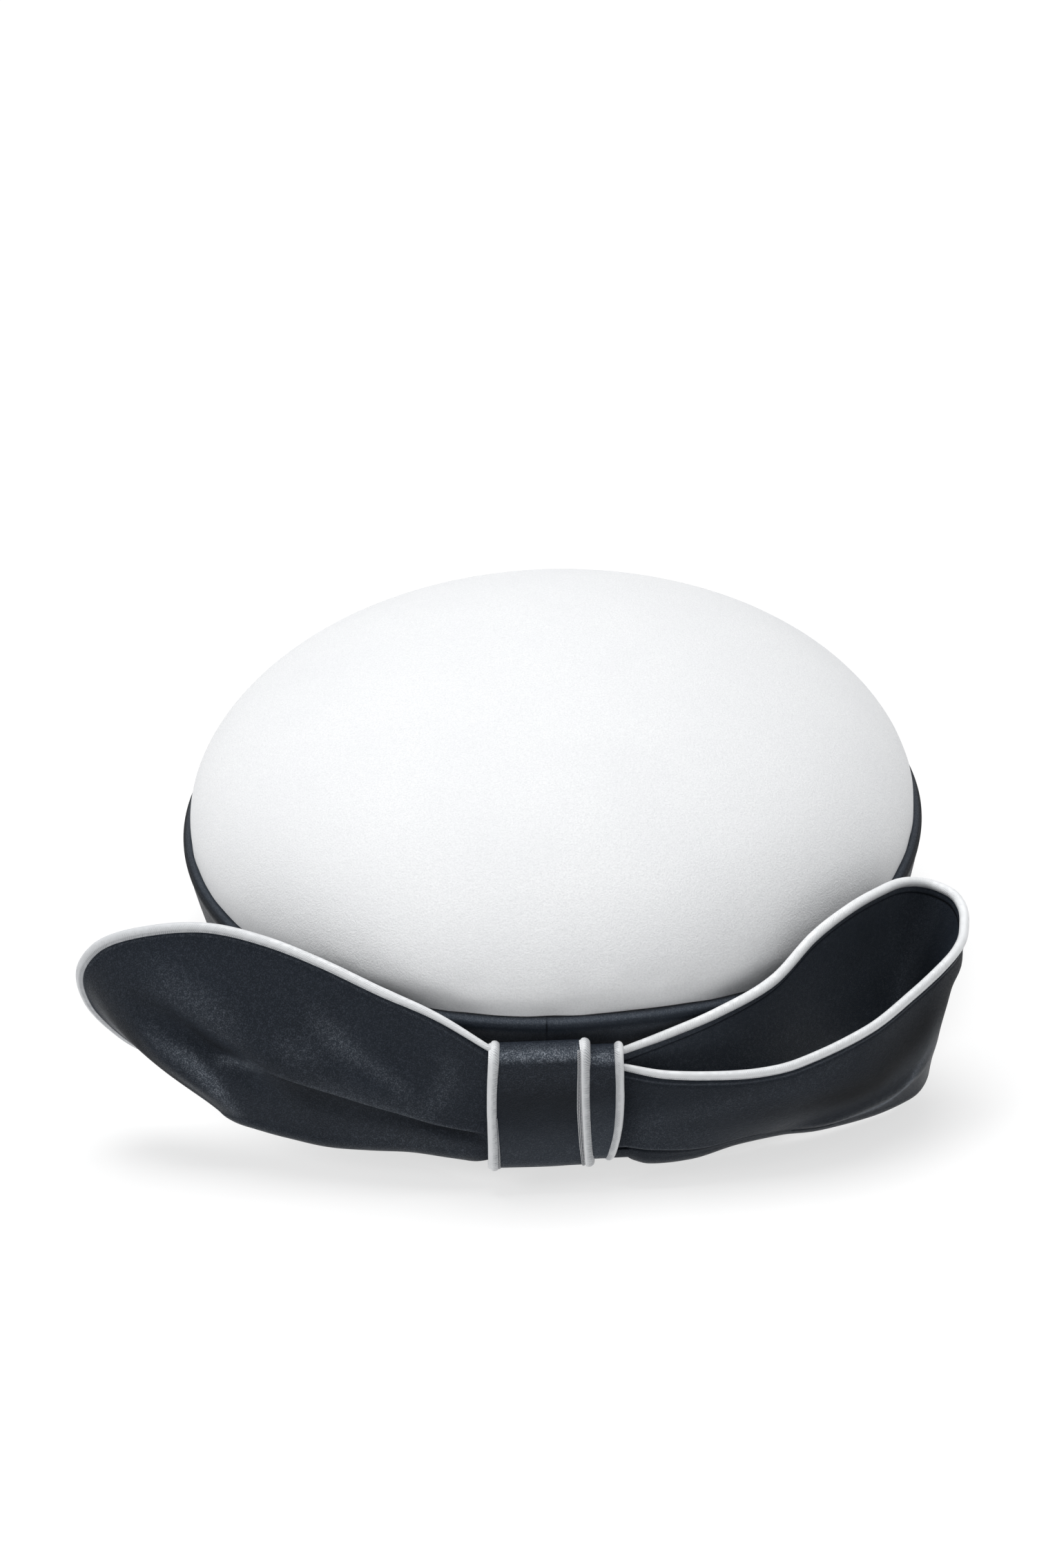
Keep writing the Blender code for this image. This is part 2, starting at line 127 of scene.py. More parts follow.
# Sections across a loop from its corded rim to its foot. along is a share of the loop's
# reach past the knot, out of its spread, and up of KNOT_HEIGHT over KNOT_LIFT. belly is a
# share of FULLNESS and turn of TURN_ANGLE. The pleat lies at crease and is tuck times
# PLEAT_DEPTH deep. The free ends are fitted more closely to the photograph than the model's.
Section = namedtuple(
    "Section", "rim_along rim_out rim_up foot_along foot_out foot_up belly turn crease tuck",
    defaults=(0.0,),
)
LEFT_FRONT = (
    (0.00, 0.00, 0.98, 0.00, 0.00, 0.11, 0.0, 0.0, 0.80, 0.1),
    (0.15, 0.00, 1.17, 0.13, 0.00, 0.12, 0.3, 0.6, 0.76, 1.0),
    (0.32, 0.02, 1.31, 0.25, 0.03, 0.13, 0.6, 0.9, 0.72, 0.9),
    (0.48, 0.08, 1.44, 0.36, 0.11, 0.13, 1.0, 1.0, 0.69, 0.7),
    (0.63, 0.20, 1.54, 0.47, 0.22, 0.14, 1.2, 1.0, 0.66, 0.6),
    (0.76, 0.39, 1.59, 0.57, 0.34, 0.19, 1.3, 1.0, 0.64, 0.1),
    (0.86, 0.64, 1.55, 0.65, 0.45, 0.24, 1.4, 0.9, 0.64),
    (0.94, 0.89, 1.42, 0.70, 0.51, 0.25, 1.4, 0.8, 0.64),
    (0.98, 1.00, 1.19, 0.71, 0.51, 0.25, 1.3, 0.6, 0.64),
)
LEFT_BACK = (
    (1.00, 1.00, 0.87, 0.71, 0.49, 0.25, 0.8, 0.5, 0.64),
    (0.98, 0.88, 0.66, 0.70, 0.45, 0.25, 0.4, 0.4, 0.64),
    (0.95, 0.71, 0.48, 0.69, 0.40, 0.25, 0.2, 0.4, 0.64),
    (0.91, 0.57, 0.46, 0.66, 0.33, 0.25, 0.1, 0.4, 0.64),
    (0.85, 0.40, 0.50, 0.61, 0.23, 0.23, 0.0, 0.4, 0.64),
    (0.68, 0.13, 0.61, 0.49, 0.10, 0.23, 0.0, 0.4, 0.64),
    (0.46, 0.01, 0.71, 0.33, 0.04, 0.24, 0.0, 0.3, 0.64),
    (0.24, 0.00, 0.78, 0.19, 0.00, 0.24, 0.0, 0.2, 0.64),
    (0.00, 0.00, 0.83, 0.00, 0.00, 0.22, 0.0, 0.0, 0.64),
)
RIGHT_FRONT = (
    (0.00, 0.00, 0.78, 0.00, 0.00, 0.11, 0.0, 0.2, 0.93, 0.5),
    (0.09, 0.16, 0.74, 0.06, 0.03, 0.05, 0.2, 0.7, 0.84, 0.8),
    (0.21, 0.30, 0.71, 0.18, 0.08, 0.03, 0.5, 0.9, 0.84, 0.8),
    (0.32, 0.45, 0.70, 0.30, 0.15, 0.07, 0.7, 0.9, 0.88, 0.4),
    (0.41, 0.60, 0.74, 0.42, 0.28, 0.08, 0.9, 1.0, 0.90),
    (0.57, 0.84, 0.89, 0.54, 0.43, 0.05, 1.0, 1.0, 0.90),
    (0.69, 0.93, 1.02, 0.66, 0.56, 0.03, 1.0, 1.0, 0.90),
    (0.79, 1.00, 1.13, 0.75, 0.66, 0.04, 0.8, 1.0, 0.90),
    (0.87, 0.93, 1.13, 0.80, 0.67, 0.05, 0.1, 1.0, 0.90),
    (0.93, 0.82, 1.13, 0.84, 0.61, 0.09, -0.4, 0.9, 0.90),
)
RIGHT_BACK = (
    (0.99, 0.77, 1.15, 0.86, 0.51, 0.12, -0.5, 0.8, 0.90),
    (1.02, 0.60, 1.19, 0.87, 0.33, 0.14, -0.3, 0.6, 0.90),
    (1.02, 0.33, 1.23, 0.87, 0.15, 0.14, 0.0, 0.4, 0.90),
    (0.96, 0.16, 1.30, 0.85, 0.09, 0.14, 0.0, 0.35, 0.90),
    (0.86, 0.10, 1.36, 0.81, 0.05, 0.14, 0.0, 0.3, 0.90),
    (0.73, 0.07, 1.39, 0.68, 0.02, 0.15, 0.0, 0.2, 0.90),
    (0.59, 0.05, 1.33, 0.57, 0.02, 0.16, 0.0, 0.2, 0.90),
    (0.44, 0.06, 1.14, 0.43, 0.02, 0.18, 0.0, 0.2, 0.90),
    (0.27, 0.04, 1.03, 0.27, 0.01, 0.20, 0.0, 0.2, 0.90),
    (0.12, 0.01, 0.94, 0.12, 0.00, 0.22, 0.0, 0.1, 0.90),
    (0.00, 0.00, 0.88, 0.00, 0.00, 0.22, 0.0, 0.0, 0.90),
)

# How far the knot's edges swing and drift on their way down, as shares of KNOT_STRAY
Edge = namedtuple("Edge", "place swing drift")
LEFT_SWAY = (0.28, 0.37)
MIDDLE_SWAY = (0.09, 0.00)
RIGHT_SWAY = (0.00, 1.00)
DRIFT_POWER = 4.0
PIPING_OVERREACH = math.radians(35.0)

# Soft ridges and hollows in a loop's cloth: a width in metres, and a line of places, each
# a share of the loop's length, a share of its section and a height in metres
WAVE_LENGTH = 0.25
WAVE_SECTION = 0.042
LEFT_WAVES = (
    (0.0042, ((0.30, 0.74, -0.0006), (0.345, 0.64, -0.0020), (0.383, 0.54, -0.0022),
              (0.42, 0.42, -0.0012), (0.45, 0.30, 0.0))),
    (0.0050, ((0.47, 0.46, 0.0), (0.445, 0.66, 0.0016), (0.41, 0.84, 0.0016),
              (0.36, 0.95, 0.0005), (0.30, 0.95, 0.0))),
    (0.0065, ((0.42, 0.26, 0.0), (0.36, 0.42, 0.0010), (0.30, 0.58, 0.0018),
              (0.22, 0.58, 0.0016), (0.14, 0.64, 0.0016), (0.05, 0.70, 0.0))),
)
RIGHT_WAVES = (
    (0.0028, ((0.404, 0.70, 0.0), (0.35, 0.80, 0.0010), (0.255, 0.92, 0.0010),
              (0.19, 0.98, 0.0))),
    (0.0080, ((0.20, 0.30, 0.0004), (0.30, 0.42, 0.0008))),
    (0.0034, ((0.395, 0.12, 0.0), (0.435, 0.14, 0.0011), (0.475, 0.12, 0.0))),
    (0.0050, ((0.395, 0.48, 0.0), (0.430, 0.48, -0.0006), (0.47, 0.48, 0.0))),
)
# Painted light and shade over a loop's outer face: the same kind of lines, with a tone in place
# of the height, above 0 for painted sheen and highlights and below 0 for painted shade
LEFT_PAINTED_LIGHT = (
    (0.0055, ((0.41, 0.20, 0.0), (0.371, 0.35, 0.28), (0.335, 0.50, 0.28), (0.30, 0.60, 0.0))),
    (0.0024, ((0.45, 0.28, 0.0), (0.423, 0.35, -0.15), (0.387, 0.49, -0.35),
              (0.36, 0.64, -0.55), (0.335, 0.69, -0.4), (0.315, 0.72, 0.0))),
    (0.0031, ((0.455, 0.46, 0.0), (0.442, 0.56, 0.3), (0.430, 0.66, 0.55), (0.408, 0.76, 1.15),
              (0.392, 0.86, 1.15), (0.380, 0.94, 0.5), (0.37, 1.02, 0.0))),
    (0.0015, ((0.378, 0.755, 0.0), (0.355, 0.745, 0.7), (0.325, 0.735, 0.7),
              (0.29, 0.73, 0.0))),
    (0.0042, ((0.225, 0.31, 0.0), (0.205, 0.36, 0.28), (0.18, 0.41, 0.34), (0.15, 0.46, 0.0))),
    (0.0024, ((0.21, 0.37, 0.0), (0.180, 0.42, 0.2), (0.150, 0.47, 0.32),
              (0.125, 0.52, 0.32), (0.106, 0.57, 0.25), (0.095, 0.60, 0.0))),
    (0.0030, ((0.275, 0.52, 0.0), (0.25, 0.55, 0.25), (0.225, 0.52, 0.2), (0.20, 0.50, 0.0))),
    (0.0032, ((0.04, 0.16, 0.0), (0.048, 0.28, 0.22), (0.055, 0.45, 0.25),
              (0.075, 0.62, 0.22), (0.11, 0.70, 0.2), (0.20, 0.71, 0.2), (0.25, 0.70, 0.0))),
    (0.0025, ((0.25, 0.99, 0.0), (0.16, 0.98, 0.15), (0.04, 0.98, 0.15))),
    (0.0050, ((0.485, 0.15, -0.2), (0.485, 0.45, -0.7), (0.475, 0.80, -0.7))),
)
RIGHT_PAINTED_LIGHT = (
    (0.0045, ((0.03, 0.45, 0.25), (0.096, 0.30, 0.22), (0.162, 0.16, 0.15), (0.24, 0.12, 0.2))),
    (0.0060, ((0.01, 0.65, 0.28), (0.08, 0.62, 0.22), (0.14, 0.60, 0.0))),
    (0.0055, ((0.12, 0.40, 0.0), (0.17, 0.42, -0.25), (0.23, 0.42, -0.45), (0.30, 0.50, -0.3))),
    (0.0078, ((0.19, 0.42, 0.0), (0.28, 0.41, -0.6), (0.33, 0.32, -0.8), (0.37, 0.25, -0.8),
              (0.41, 0.20, -0.7), (0.43, 0.06, -0.5))),
    (0.0014, ((0.390, 0.42, 0.0), (0.373, 0.55, 1.0), (0.364, 0.63, 1.7),
              (0.346, 0.73, 2.0), (0.311, 0.77, 1.8), (0.281, 0.79, 1.2), (0.24, 0.82, 0.0))),
    (0.0030, ((0.384, 0.20, 0.15), (0.388, 0.40, 0.35), (0.395, 0.60, 0.2))),
)
# Painted highlight along the pleat's lip and painted shade under it, a painted highlight on the roll
# beside the cord, and painted light that lifts the shaded inner face, more so deeper in
LIP_PAINTED_HIGHLIGHT = 0.35
PLEAT_PAINTED_SHADE = -0.4
ROLL_PAINTED_HIGHLIGHT = 0.5
INNER_PAINTED_LIGHT = 0.45
DEEP_PAINTED_LIGHT = 2.0

# How far the grain is stilled where the photograph shows smooth cloth
CALM = 0.75

# Along a loop's cord, by share of its length: its thickness as a share of the full radius,
# and its painted shade, 0 for white and -1 for grey
LEFT_SIZES = ((0.0, 0.50), (0.05, 0.62), (0.12, 0.82), (0.30, 0.92), (0.50, 1.0), (1.0, 0.85))
RIGHT_SIZES = (
    (0.0, 0.60), (0.06, 0.78), (0.15, 0.86), (0.45, 0.95), (0.80, 1.04), (0.94, 0.92), (1.0, 0.68)
)
LEFT_CORD_PAINTED_SHADE = (
    (0.0, -0.3), (0.25, -0.3), (0.38, -0.6), (0.50, -0.6), (0.60, -0.3), (1.0, -0.3)
)
RIGHT_CORD_PAINTED_SHADE = ((0.0, -0.3), (0.35, -0.3), (0.50, -0.1), (0.65, -0.1), (1.0, -0.3))
# Painted shade that greys the knot's cords
KNOT_CORD_PAINTED_SHADE = -0.25

# All that tells the two loops apart, their painted light and shade among it. seam is how strongly
# the cord's seam shows in the cloth, both in its shape and as a painted highlight on the roll beside
# the cord, and drops says how far the cord's two ends drop on their way into the knot.
Loop = namedtuple(
    "Loop", "name side reach spread front back waves tones calm seam drops sizes cord_tones"
)
LOOPS = (
    Loop("left", -1.0, LEFT_REACH, LEFT_SPREAD, LEFT_FRONT, LEFT_BACK, LEFT_WAVES, LEFT_PAINTED_LIGHT,
         0.15, 0.4, (0.0018, 0.0), LEFT_SIZES, LEFT_CORD_PAINTED_SHADE),
    Loop("right", 1.0, RIGHT_REACH, RIGHT_SPREAD, RIGHT_FRONT, RIGHT_BACK, RIGHT_WAVES,
         RIGHT_PAINTED_LIGHT, 0.5, 1.0, (0.0, 0.0006), RIGHT_SIZES, RIGHT_CORD_PAINTED_SHADE),
)

# Columns across a loop's sheet: close ones beside the cord, then the panel, the pleat, the
# stretch below it and the turned-under tail
EDGE_STEPS = np.array([0.0, 0.5, 0.9, 1.1, 1.3, 1.5, 1.75, 2.0, 2.25, 2.5, 2.8, 3.2, 3.8]) * 1e-3
PANEL_COUNT = 34
FOLD_COUNT = 24
LOWER_COUNT = 12
TAIL_COUNT = 16
FOLD_SHARE = 0.07
PAINTED_LIGHT_BOUNDS = (0.0, 0.09, 0.72, 0.79, 1.0, 1.15)

# How the bow's rows and cords run on into the knot
ROWS_INTO_KNOT = (1.0, 0.6, 0.3)
CORD_INTO_KNOT = (1.0, 0.75, 0.5, 0.25)
CORD_RUN = 0.0028
CORD_RUN_BACK = 0.0006

# Ridge and groove of the cord's seam in the cloth: height, distance from the edge, spread
SEAM_FORMS = ((0.00030, 0.0013, 0.00045), (-0.00014, 0.0023, 0.00030))

# The cords' sides, and the ridge along a loop's cord
LOOP_CORD_SIDES = 40
LOOP_RIDGE_AT = 0.55
LOOP_RIDGE = 0.22
KNOT_CORD_SIDES = 32
KNOT_CORD_STEP = 0.0004

# Pitch of the threads round a cord and of the dots of the woven strips
THREAD_PITCH = 0.00052
DOT_PITCH = 0.00044

# Camera, from a fit of the seam and rim to the photograph
FRAME_WIDTH = 1515
FRAME_HEIGHT = 2272
AIM = Vector((0.0, 0.0, 0.048))
AIM_PIXEL = (799.2, 1172.5)
DISTANCE = 1.5
ELEVATION = math.radians(30.25)
ROLL = math.radians(-2.34)
FOCAL_PIXELS = 8122.0
FLOOR_REACH = 4.0
FLOOR_DROP = 0.0003


# Numbers and curves


def unit(vectors):
    length = np.linalg.norm(vectors, axis=-1, keepdims=True)
    return vectors / np.maximum(length, 1e-12)


def bell(x, middle, spread):
    return np.exp(-(((x - middle) / spread) ** 2))


def smoothstep(x, low, high):
    t = np.clip((x - low) / (high - low), 0.0, 1.0)
    return t * t * (3.0 - 2.0 * t)


def through(rows, knots, places):
    """Values of a smooth curve through rows at the given places."""
    rows = np.asarray(rows, float)
    knots = np.asarray(knots, float)
    slopes = np.empty_like(rows)
    slopes[1:-1] = (rows[2:] - rows[:-2]) / (knots[2:] - knots[:-2])[:, None]
    slopes[0] = (rows[1] - rows[0]) / (knots[1] - knots[0])
    slopes[-1] = (rows[-1] - rows[-2]) / (knots[-1] - knots[-2])
    i = np.clip(np.searchsorted(knots, places, side="right") - 1, 0, len(knots) - 2)
    span = (knots[i + 1] - knots[i])[:, None]
    t = (places - knots[i])[:, None] / span
    start = 1.0 - t * t * (3.0 - 2.0 * t)
    return (
        start * rows[i]
        + (1.0 - start) * rows[i + 1]
        + t * (1.0 - t) ** 2 * span * slopes[i]
        + t * t * (t - 1.0) * span * slopes[i + 1]
    )


def along_path(points):
    """The distance run along a path, at each of its points."""
    return np.append(0.0, np.cumsum(np.linalg.norm(np.diff(points, axis=0), axis=1)))


def round_turn(count):
    return np.linspace(0.0, math.tau, count, endpoint=False)


def steps_to_one(count):
    return np.linspace(0.0, 1.0, count + 1)[1:]


def lattice(x, y, seed):
    """Smooth repeatable noise from -1 to 1 on a plane, one hump a unit."""
    rng = np.random.default_rng(seed)
    table = rng.uniform(-1.0, 1.0, (64, 64))
    x0 = np.floor(x).astype(int)
    y0 = np.floor(y).astype(int)
    u = smoothstep(x - x0, 0.0, 1.0)
    v = smoothstep(y - y0, 0.0, 1.0)
    a, b, c, d = (table[(x0 + i) % 64, (y0 + j) % 64] for j in (0, 1) for i in (0, 1))
    return (a * (1 - u) + b * u) * (1 - v) + (c * (1 - u) + d * u) * v


# Meshes


def skin(name, grid, uv, across_closed=False, along_closed=False, caps=False):
    """A mesh over a grid of points (rows, columns, 3), with UVs in metres."""
    rows, columns = grid.shape[:2]
    index = np.arange(rows * columns).reshape(rows, columns)
    i = np.arange(rows if along_closed else rows - 1)
    j = np.arange(columns if across_closed else columns - 1)
    ii, jj = np.meshgrid(i, j, indexing="ij")
    i2 = (ii + 1) % rows
    j2 = (jj + 1) % columns
    quads = np.stack([index[ii, jj], index[ii, j2], index[i2, j2], index[i2, jj]], -1)
    faces = quads.reshape(-1, 4).tolist()
    if caps:
        faces += [index[0, ::-1].tolist(), index[-1].tolist()]
    mesh = bpy.data.meshes.new(name)
    mesh.from_pydata(grid.reshape(-1, 3).tolist(), [], faces)
    layer = mesh.uv_layers.new(name="metres")
    u, v = (np.append(line, line[-1] + (line[-1] - line[-2])) for line in uv)
    a = np.stack([u[ii], u[ii], u[ii + 1], u[ii + 1]], -1)
    b = np.stack([v[jj], v[jj + 1], v[jj + 1], v[jj]], -1)
    corners = np.zeros((len(mesh.loops), 2), np.float32)
    corners[:quads.size] = np.stack([a, b], -1).reshape(-1, 2)
    layer.data.foreach_set("uv", corners.reshape(-1))
    mesh.shade_smooth()
    return mesh


def tint(mesh, **values):
    """Keeps values for each vertex, such as its painted light and shade and how far its grain is
    stilled.
    """
    for name, numbers in values.items():
        layer = mesh.attributes.new(name, "FLOAT", "POINT")
        layer.data.foreach_set("value", np.asarray(numbers, np.float32).reshape(-1))


def outward(mesh):
    """Turns the faces so that the mesh's volume is positive."""
    mesh.calc_loop_triangles()
    points = np.empty(len(mesh.vertices) * 3, np.float32)
    mesh.vertices.foreach_get("co", points)
    points = points.reshape(-1, 3).astype(float)
    tris = np.empty(len(mesh.loop_triangles) * 3, np.int32)
    mesh.loop_triangles.foreach_get("vertices", tris)
    a, b, c = (points[tris.reshape(-1, 3)[:, k]] for k in range(3))
    if float(np.einsum("ij,ij->i", a, np.cross(b, c)).sum()) < 0.0:
        mesh.flip_normals()


def add(name, data):
    """A new object in the scene."""
    made = bpy.data.objects.new(name, data)
    bpy.context.scene.collection.objects.link(made)
    return made


def piece(name, mesh, material, nodes):
    """Adds a finished piece that stands for the given nodes and rides on the hat."""
    outward(mesh)
    mesh.materials.append(material)
    obj = add(name, mesh)
    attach(obj, "root")
    if nodes:
        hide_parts(*nodes)
    return obj


def both_faces(outer, inner):
    return np.concatenate([outer, inner[:, ::-1]], axis=1)


def cloth(name, middle, normal, half, uv, tones, calms, material, nodes, closed=False):
    """A closed piece of cloth: its two faces either side of a middle surface.

    The painted light and shade and the calms are pairs, for the outer and the inner face.
    """
    offset = normal * half[..., None]
    u, v = uv
    wide = np.concatenate([v, 2.0 * v[-1] - v[::-1]])
    ring = both_faces(middle + offset, middle - offset)
    mesh = skin(name, ring, (u, wide), across_closed=True, along_closed=closed, caps=not closed)
    tint(mesh, tone=both_faces(*tones), calm=both_faces(*calms))
    return piece(name, mesh, material, nodes)


def rounded(distance, rounding, least):
    """Shares of the full thickness near a cloth's edge, round like half a cord."""
    short = 1.0 - np.clip(distance / rounding, 0, 1)
    return np.sqrt(np.clip(1.0 - short ** 2, least, 1))


def swept(name, path, side, profile, start, tones, material, node):
    """A cord: a profile of radii by angle, measured from a side direction, along a path."""
    tangent = unit(np.gradient(path, axis=0))
    side = unit(side - tangent * np.sum(side * tangent, axis=1, keepdims=True))
    over = np.cross(tangent, side)
    angles = round_turn(profile.shape[1])
    ring = side[:, None] * np.cos(angles)[None, :, None]
    ring = ring + over[:, None] * np.sin(angles)[None, :, None]
    grid = path[:, None] + ring * profile[..., None]
    uv = (along_path(path), (angles + start) * LOOP_PIPING)
    mesh = skin(name, grid, uv, across_closed=True, caps=True)
    # Painted shade that greys the cord, row by row
    tint(mesh, tone=np.repeat(tones, profile.shape[1]))
    piece(name, mesh, material, [node])


# Materials


class Tree:
    """Short calls for building one material."""

    def __init__(self, name):
        self.material = bpy.data.materials.new(name)
        self.material.use_nodes = True
        self.tree = self.material.node_tree
        self.shader = self.tree.nodes["Principled BSDF"]

    def node(self, kind, **settings):
        made = self.tree.nodes.new(kind)
        for key, value in settings.items():
            setattr(made, key, value)
        return made

    def fill(self, socket, value):
        if isinstance(value, bpy.types.NodeSocket):
            self.tree.links.new(value, socket)
        else:
            socket.default_value = value

    def fill_named(self, node, **values):
        for name, value in values.items():
            self.fill(node.inputs[name.replace("_", " ")], value)

    def math(self, operation, *values):
        made = self.node("ShaderNodeMath", operation=operation)
        for socket, value in zip(made.inputs, values):
            self.fill(socket, value)
        return made.outputs[0]

    def times(self, first, second):
        return self.math("MULTIPLY", first, second)

    def kept(self, name):
        """The value that tint kept for each vertex."""
        return self.node("ShaderNodeAttribute", attribute_name=name).outputs["Fac"]

    def metres(self):
        """The distances along and across a piece."""
        parts = self.node("ShaderNodeSeparateXYZ")
        self.fill(parts.inputs[0], self.node("ShaderNodeUVMap", uv_map="metres").outputs[0])
        return parts.outputs[0], parts.outputs[1]

    def noise(self, scale, detail=2.0, roughness=0.5):
        made = self.node("ShaderNodeTexNoise")
        place = self.node("ShaderNodeTexCoord").outputs["Object"]
        self.fill_named(made, Vector=place, Scale=scale, Detail=detail, Roughness=roughness)
        return made.outputs["Fac"]

    def spread(self, value, low, high, to_low=0.0, to_high=1.0):
        made = self.node("ShaderNodeMapRange")
        for socket, number in zip(made.inputs, (value, low, high, to_low, to_high)):
            self.fill(socket, number)
        return made.outputs[0]

    def blend(self, share, first, second):
        made = self.node("ShaderNodeMix", data_type="RGBA")
        self.fill(made.inputs["Factor"], share)
        for name, value in (("A", first), ("B", second)):
            sockets = [s for s in made.inputs if s.name == name and s.type == "RGBA"]
            self.fill(sockets[0], value)
        return [s for s in made.outputs if s.type == "RGBA"][0]

    def bump(self, height, distance, strength=1.0, under=None):
        made = self.node("ShaderNodeBump")
        self.fill_named(made, Height=height, Distance=distance, Strength=strength)
        if under is not None:
            self.fill_named(made, Normal=under)
        return made.outputs[0]

    def finish(self, color, roughness, normal, **others):
        values = {"Base Color": color, "Roughness": roughness, "Normal": normal}
        self.fill_named(self.shader, **values, **others)
        return self.material


def dark_satin():
    """Satin with a painted sheen, painted glints and painted shade set by its painted light, over a
    grain of small specks.
    """
    tree = Tree("dark_satin")
    grain = tree.noise(3200.0, 3.0, 0.65)
    nap = tree.noise(900.0)
    mixed = tree.math("ADD", tree.times(grain, 0.82), tree.times(nap, 0.18))
    speck = tree.times(tree.spread(mixed, 0.48, 0.66), tree.math("SUBTRACT", 1.0, tree.kept("calm")))
    shade = tree.spread(tree.noise(45.0), 0.3, 0.7)
    # Painted light and shade: above 0 the colour is lifted to a painted sheen with brighter painted
    # glints; below 0 it is darkened to painted shade
    tone = tree.kept("tone")
    light = tree.spread(tone, 0.0, 2.5, 0.0, 1.25)
    deep = tree.spread(tone, -1.0, 0.0, 1.0, 0.0)
    plain = tree.blend(shade, (0.0088, 0.0125, 0.0185, 1.0), (0.0114, 0.0160, 0.0236, 1.0))
    painted_sheen = tree.blend(light, plain, (0.065, 0.078, 0.098, 1.0))
    grain_and_painted_glint = tree.blend(light, (0.042, 0.051, 0.068, 1.0), (0.46, 0.50, 0.56, 1.0))
    color = tree.blend(deep, tree.blend(speck, painted_sheen, grain_and_painted_glint), (0.0015, 0.0020, 0.0030, 1.0))
    rough = tree.math("ADD", tree.spread(grain, 0.3, 0.7, 0.46, 0.30), tree.times(deep, 0.35))
    coarse = tree.bump(nap, 0.00014, 0.6)
    normal = tree.bump(grain, 0.00040, 1.0, coarse)
    return tree.finish(
        color, rough, normal,
        Specular_IOR_Level=0.13,
        Sheen_Weight=0.01,
        Sheen_Roughness=0.45,
        Sheen_Tint=(0.75, 0.85, 1.0, 1.0),
    )


def crown_satin():
    tree = Tree("crown_satin")
    grain = tree.noise(2200.0, 3.0, 0.65)
    shade = tree.spread(tree.noise(38.0, 3.0, 0.55), 0.3, 0.7)
    base = tree.blend(shade, (0.725, 0.73, 0.74, 1.0), (0.755, 0.76, 0.765, 1.0))
    pit = tree.spread(grain, 0.30, 0.62)
    color = tree.blend(pit, (0.65, 0.655, 0.665, 1.0), base)
    rough = tree.spread(grain, 0.3, 0.7, 0.72, 0.58)
    coarse = tree.bump(tree.noise(520.0), 0.00016, 0.45)
    normal = tree.bump(grain, 0.00024, 0.65, coarse)
    return tree.finish(
        color, rough, normal,
        Specular_IOR_Level=0.30, Sheen_Weight=0.10, Sheen_Roughness=0.5,
    )


def piping_satin():
    """White bias cord: slanting threads round it, in metres along it, with painted shade on it."""
    tree = Tree("white_piping")
    along, across = tree.metres()
    wander = tree.spread(tree.noise(260.0), 0.0, 1.0, -1.6, 1.6)
    slant = tree.math("ADD", along, tree.times(across, 0.6))
    turns = tree.math("ADD", tree.times(slant, math.tau / THREAD_PITCH), wander)
    fade = tree.spread(tree.noise(700.0, 2.0, 0.6), 0.34, 0.54)
    rib = tree.times(tree.math("SINE", turns), fade)
    grain = tree.noise(3800.0, 2.0, 0.6)
    height = tree.math("ADD", rib, tree.times(grain, 0.8))
    normal = tree.bump(height, 0.00005, 0.8)
    # Painted shade: dark strokes in the thread grooves, a darker flank on one side of the cord, and
    # grey where the cord's painted shade is below 0
    facing = tree.math("COSINE", tree.math("DIVIDE", across, LOOP_PIPING))
    groove = tree.spread(rib, -0.80, 0.10, 1.0, 0.0)
    groove_painted_shade = tree.times(groove, tree.spread(facing, 0.10, 0.70))
    under = tree.spread(facing, -0.1, 0.9)
    painted_grey = tree.spread(tree.kept("tone"), -1.0, 0.0, 1.0, 0.0)
    dark = (0.27, 0.28, 0.30, 1.0)
    top = tree.blend(painted_grey, (0.80, 0.81, 0.82, 1.0), (0.40, 0.41, 0.43, 1.0))
    painted_shade_flank = tree.blend(painted_grey, (0.58, 0.59, 0.60, 1.0), dark)
    color = tree.blend(groove_painted_shade, tree.blend(under, top, painted_shade_flank), dark)
    rough = tree.spread(grain, 0.3, 0.7, 0.42, 0.30)
    return tree.finish(
        color, rough, normal,
        Specular_IOR_Level=0.45, Sheen_Weight=0.10, Sheen_Roughness=0.4,
    )


def flange_ribbon(name):
    """Woven strip with rows of small white dots over dark cloth."""
    tree = Tree(name)
    along, across = tree.metres()
    slant = tree.math("ADD", along, tree.times(across, 0.5))
    waves = [tree.math("SINE", tree.times(way, math.tau / DOT_PITCH)) for way in (slant, across)]
    dots = tree.times(*(tree.spread(wave, -1.0, 1.0) for wave in waves))
    show = tree.spread(dots, 0.30, 0.55)
    color = tree.blend(show, (0.045, 0.05, 0.06, 1.0), (0.80, 0.81, 0.83, 1.0))
    normal = tree.bump(dots, 0.00010, 0.6)
    return tree.finish(color, 0.45, normal, Specular_IOR_Level=0.4)


def floor_paper():
    tree = Tree("floor_paper")
    grain = tree.noise(60.0, 3.0, 0.5)
    color = tree.blend(grain, (0.32, 0.32, 0.32, 1.0), (0.34, 0.34, 0.34, 1.0))
    return tree.finish(
        color, 0.9, tree.bump(grain, 0.0002, 0.05),
        Specular_IOR_Level=0.05,
        Emission_Color=(1.0, 1.0, 1.0, 1.0),
        Emission_Strength=0.66,
    )


# Crown and side band


def oval(out, up, turn):
    """Points round the hat at distances out from the seam and heights."""
    x = (SEAM_HALF_WIDTH + out) * np.cos(turn)
    y = (SEAM_HALF_LENGTH + out) * np.sin(turn)
    return np.stack([x, y, np.broadcast_to(up, x.shape)], -1)


def sag(turn):
    """How far the seam between crown and band hangs down behind the right loop."""
    return SEAM_SAG * bell(turn % (math.tau), SAG_TURN, SAG_SPREAD)


def dome_height(height, rise, turn):
    """Heights of a ring of the dome: the seam's sag fades out above the seam."""
    hang = sag(turn) * (1.0 - smoothstep(rise, 0.0, SAG_FADE))
    return SIDE_HEIGHT + GAP + height * rise - hang


